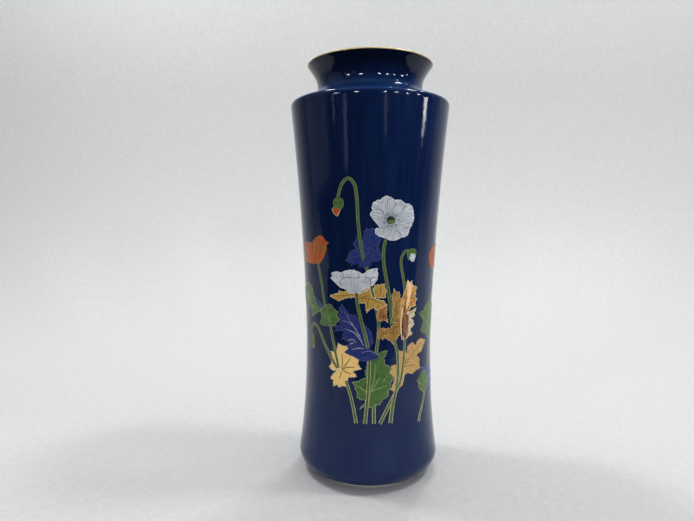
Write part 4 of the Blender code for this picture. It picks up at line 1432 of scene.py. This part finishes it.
def make_strip(name, azimuth, low, high, half_low, half_high, colour, glow):
    """An upright glowing strip between two elevations, with its half width at each in degrees."""
    middle = Vector((0, 0, STRIP_EYE))
    ways = ((-half_low, low), (half_low, low), (half_high, high), (-half_high, high))
    corners = [middle + STRIP_DISTANCE * direction(azimuth + side, rise) for side, rise in ways]
    make_card(name, corners, colour, glow)


def make_world():
    """A pale ceiling over a room that is dark in front and soft grey behind."""
    world = bpy.data.worlds.new("studio")
    bpy.context.scene.world = world
    world.use_nodes = True
    tree = world.node_tree
    back = tree.nodes["Background"]
    place = tree.nodes.new("ShaderNodeTexCoord").outputs["Generated"]

    def slope(towards, start, end, low, high):
        facing = tree.nodes.new("ShaderNodeVectorMath")
        facing.operation = "DOT_PRODUCT"
        facing.inputs[1].default_value = towards
        tree.links.new(place, facing.inputs[0])
        ramp = tree.nodes.new("ShaderNodeMapRange")
        ramp.interpolation_type = "SMOOTHSTEP"
        tree.links.new(facing.outputs["Value"], ramp.inputs["Value"])
        for key, value in (("From Min", start), ("From Max", end), ("To Min", low), ("To Max", high)):
            ramp.inputs[key].default_value = value
        return ramp.outputs["Result"]

    def blend(share, first, second):
        made = tree.nodes.new("ShaderNodeMix")
        for k, value in enumerate((share, None, first, second)):
            if isinstance(value, bpy.types.NodeSocket):
                tree.links.new(value, made.inputs[k])
            elif value is not None:
                made.inputs[k].default_value = value
        return made.outputs[0]

    room = slope(direction(ROOM_TURN, 0), *ROOM_EDGE, ROOM_FRONT, ROOM_BACK)
    ceiling = slope(Vector((0, 0, 1)), *CEILING_EDGE, 0.0, 1.0)
    seen = tree.nodes.new("ShaderNodeLightPath").outputs["Is Camera Ray"]
    strength = blend(seen, blend(ceiling, room, CEILING), WORLD_SEEN)
    tree.links.new(strength, back.inputs["Strength"])
    back.inputs["Color"].default_value = ROOM_COLOUR


def make_studio():
    make_floor()
    make_world()
    equal = (FRONT_LAMP_DISTANCE, FRONT_LAMP_SIZE, FRONT_LAMP_POWER)
    for k, (azimuth, elevation) in enumerate(FRONT_LAMPS):
        make_lamp(f"front_lamp_{k}", azimuth, elevation, *equal)
    make_wall_lamp()
    for lamp in TOP_LAMPS:
        make_lamp(*lamp)
    make_card("black_flag", [(x, y, FLAG_HEIGHT) for x, y in FLAG], BLACK)
    make_card("lip_flag", [(x, y, LIP_FLAG_HEIGHT) for x, y in LIP_FLAG], BLACK)
    for strip in STRIPS:
        make_strip(*strip)


def make_camera():
    """The view of the photograph: close, a little above the middle, turned a little to the left."""
    pitch, yaw, roll = radians(CAMERA_PITCH), radians(CAMERA_YAW), radians(CAMERA_ROLL)
    forward = Vector((sin(yaw) * cos(pitch), cos(yaw) * cos(pitch), -sin(pitch)))
    right = Vector((cos(yaw), -sin(yaw), 0))
    up = right.cross(forward)
    across = right * cos(roll) + up * sin(roll)
    upright = up * cos(roll) - right * sin(roll)
    camera = bpy.data.objects.new("camera", bpy.data.cameras.new("camera"))
    camera.data.sensor_width = 36.0
    camera.data.lens = CAMERA_LENS
    axes = Matrix((across, upright, -forward)).transposed().to_4x4()
    place = (0, -CAMERA_DISTANCE * HEIGHT * MM, CAMERA_HEIGHT * HEIGHT * MM)
    camera.matrix_world = Matrix.Translation(place) @ axes
    camera.data.clip_start, camera.data.clip_end = 0.01, 20
    bpy.context.scene.collection.objects.link(camera)
    bpy.context.scene.camera = camera


def main():
    bpy.context.scene.view_settings.view_transform = "Standard"
    make_camera()
    make_shell()
    make_prints()
    make_studio()
    bpy.context.view_layer.update()


main()
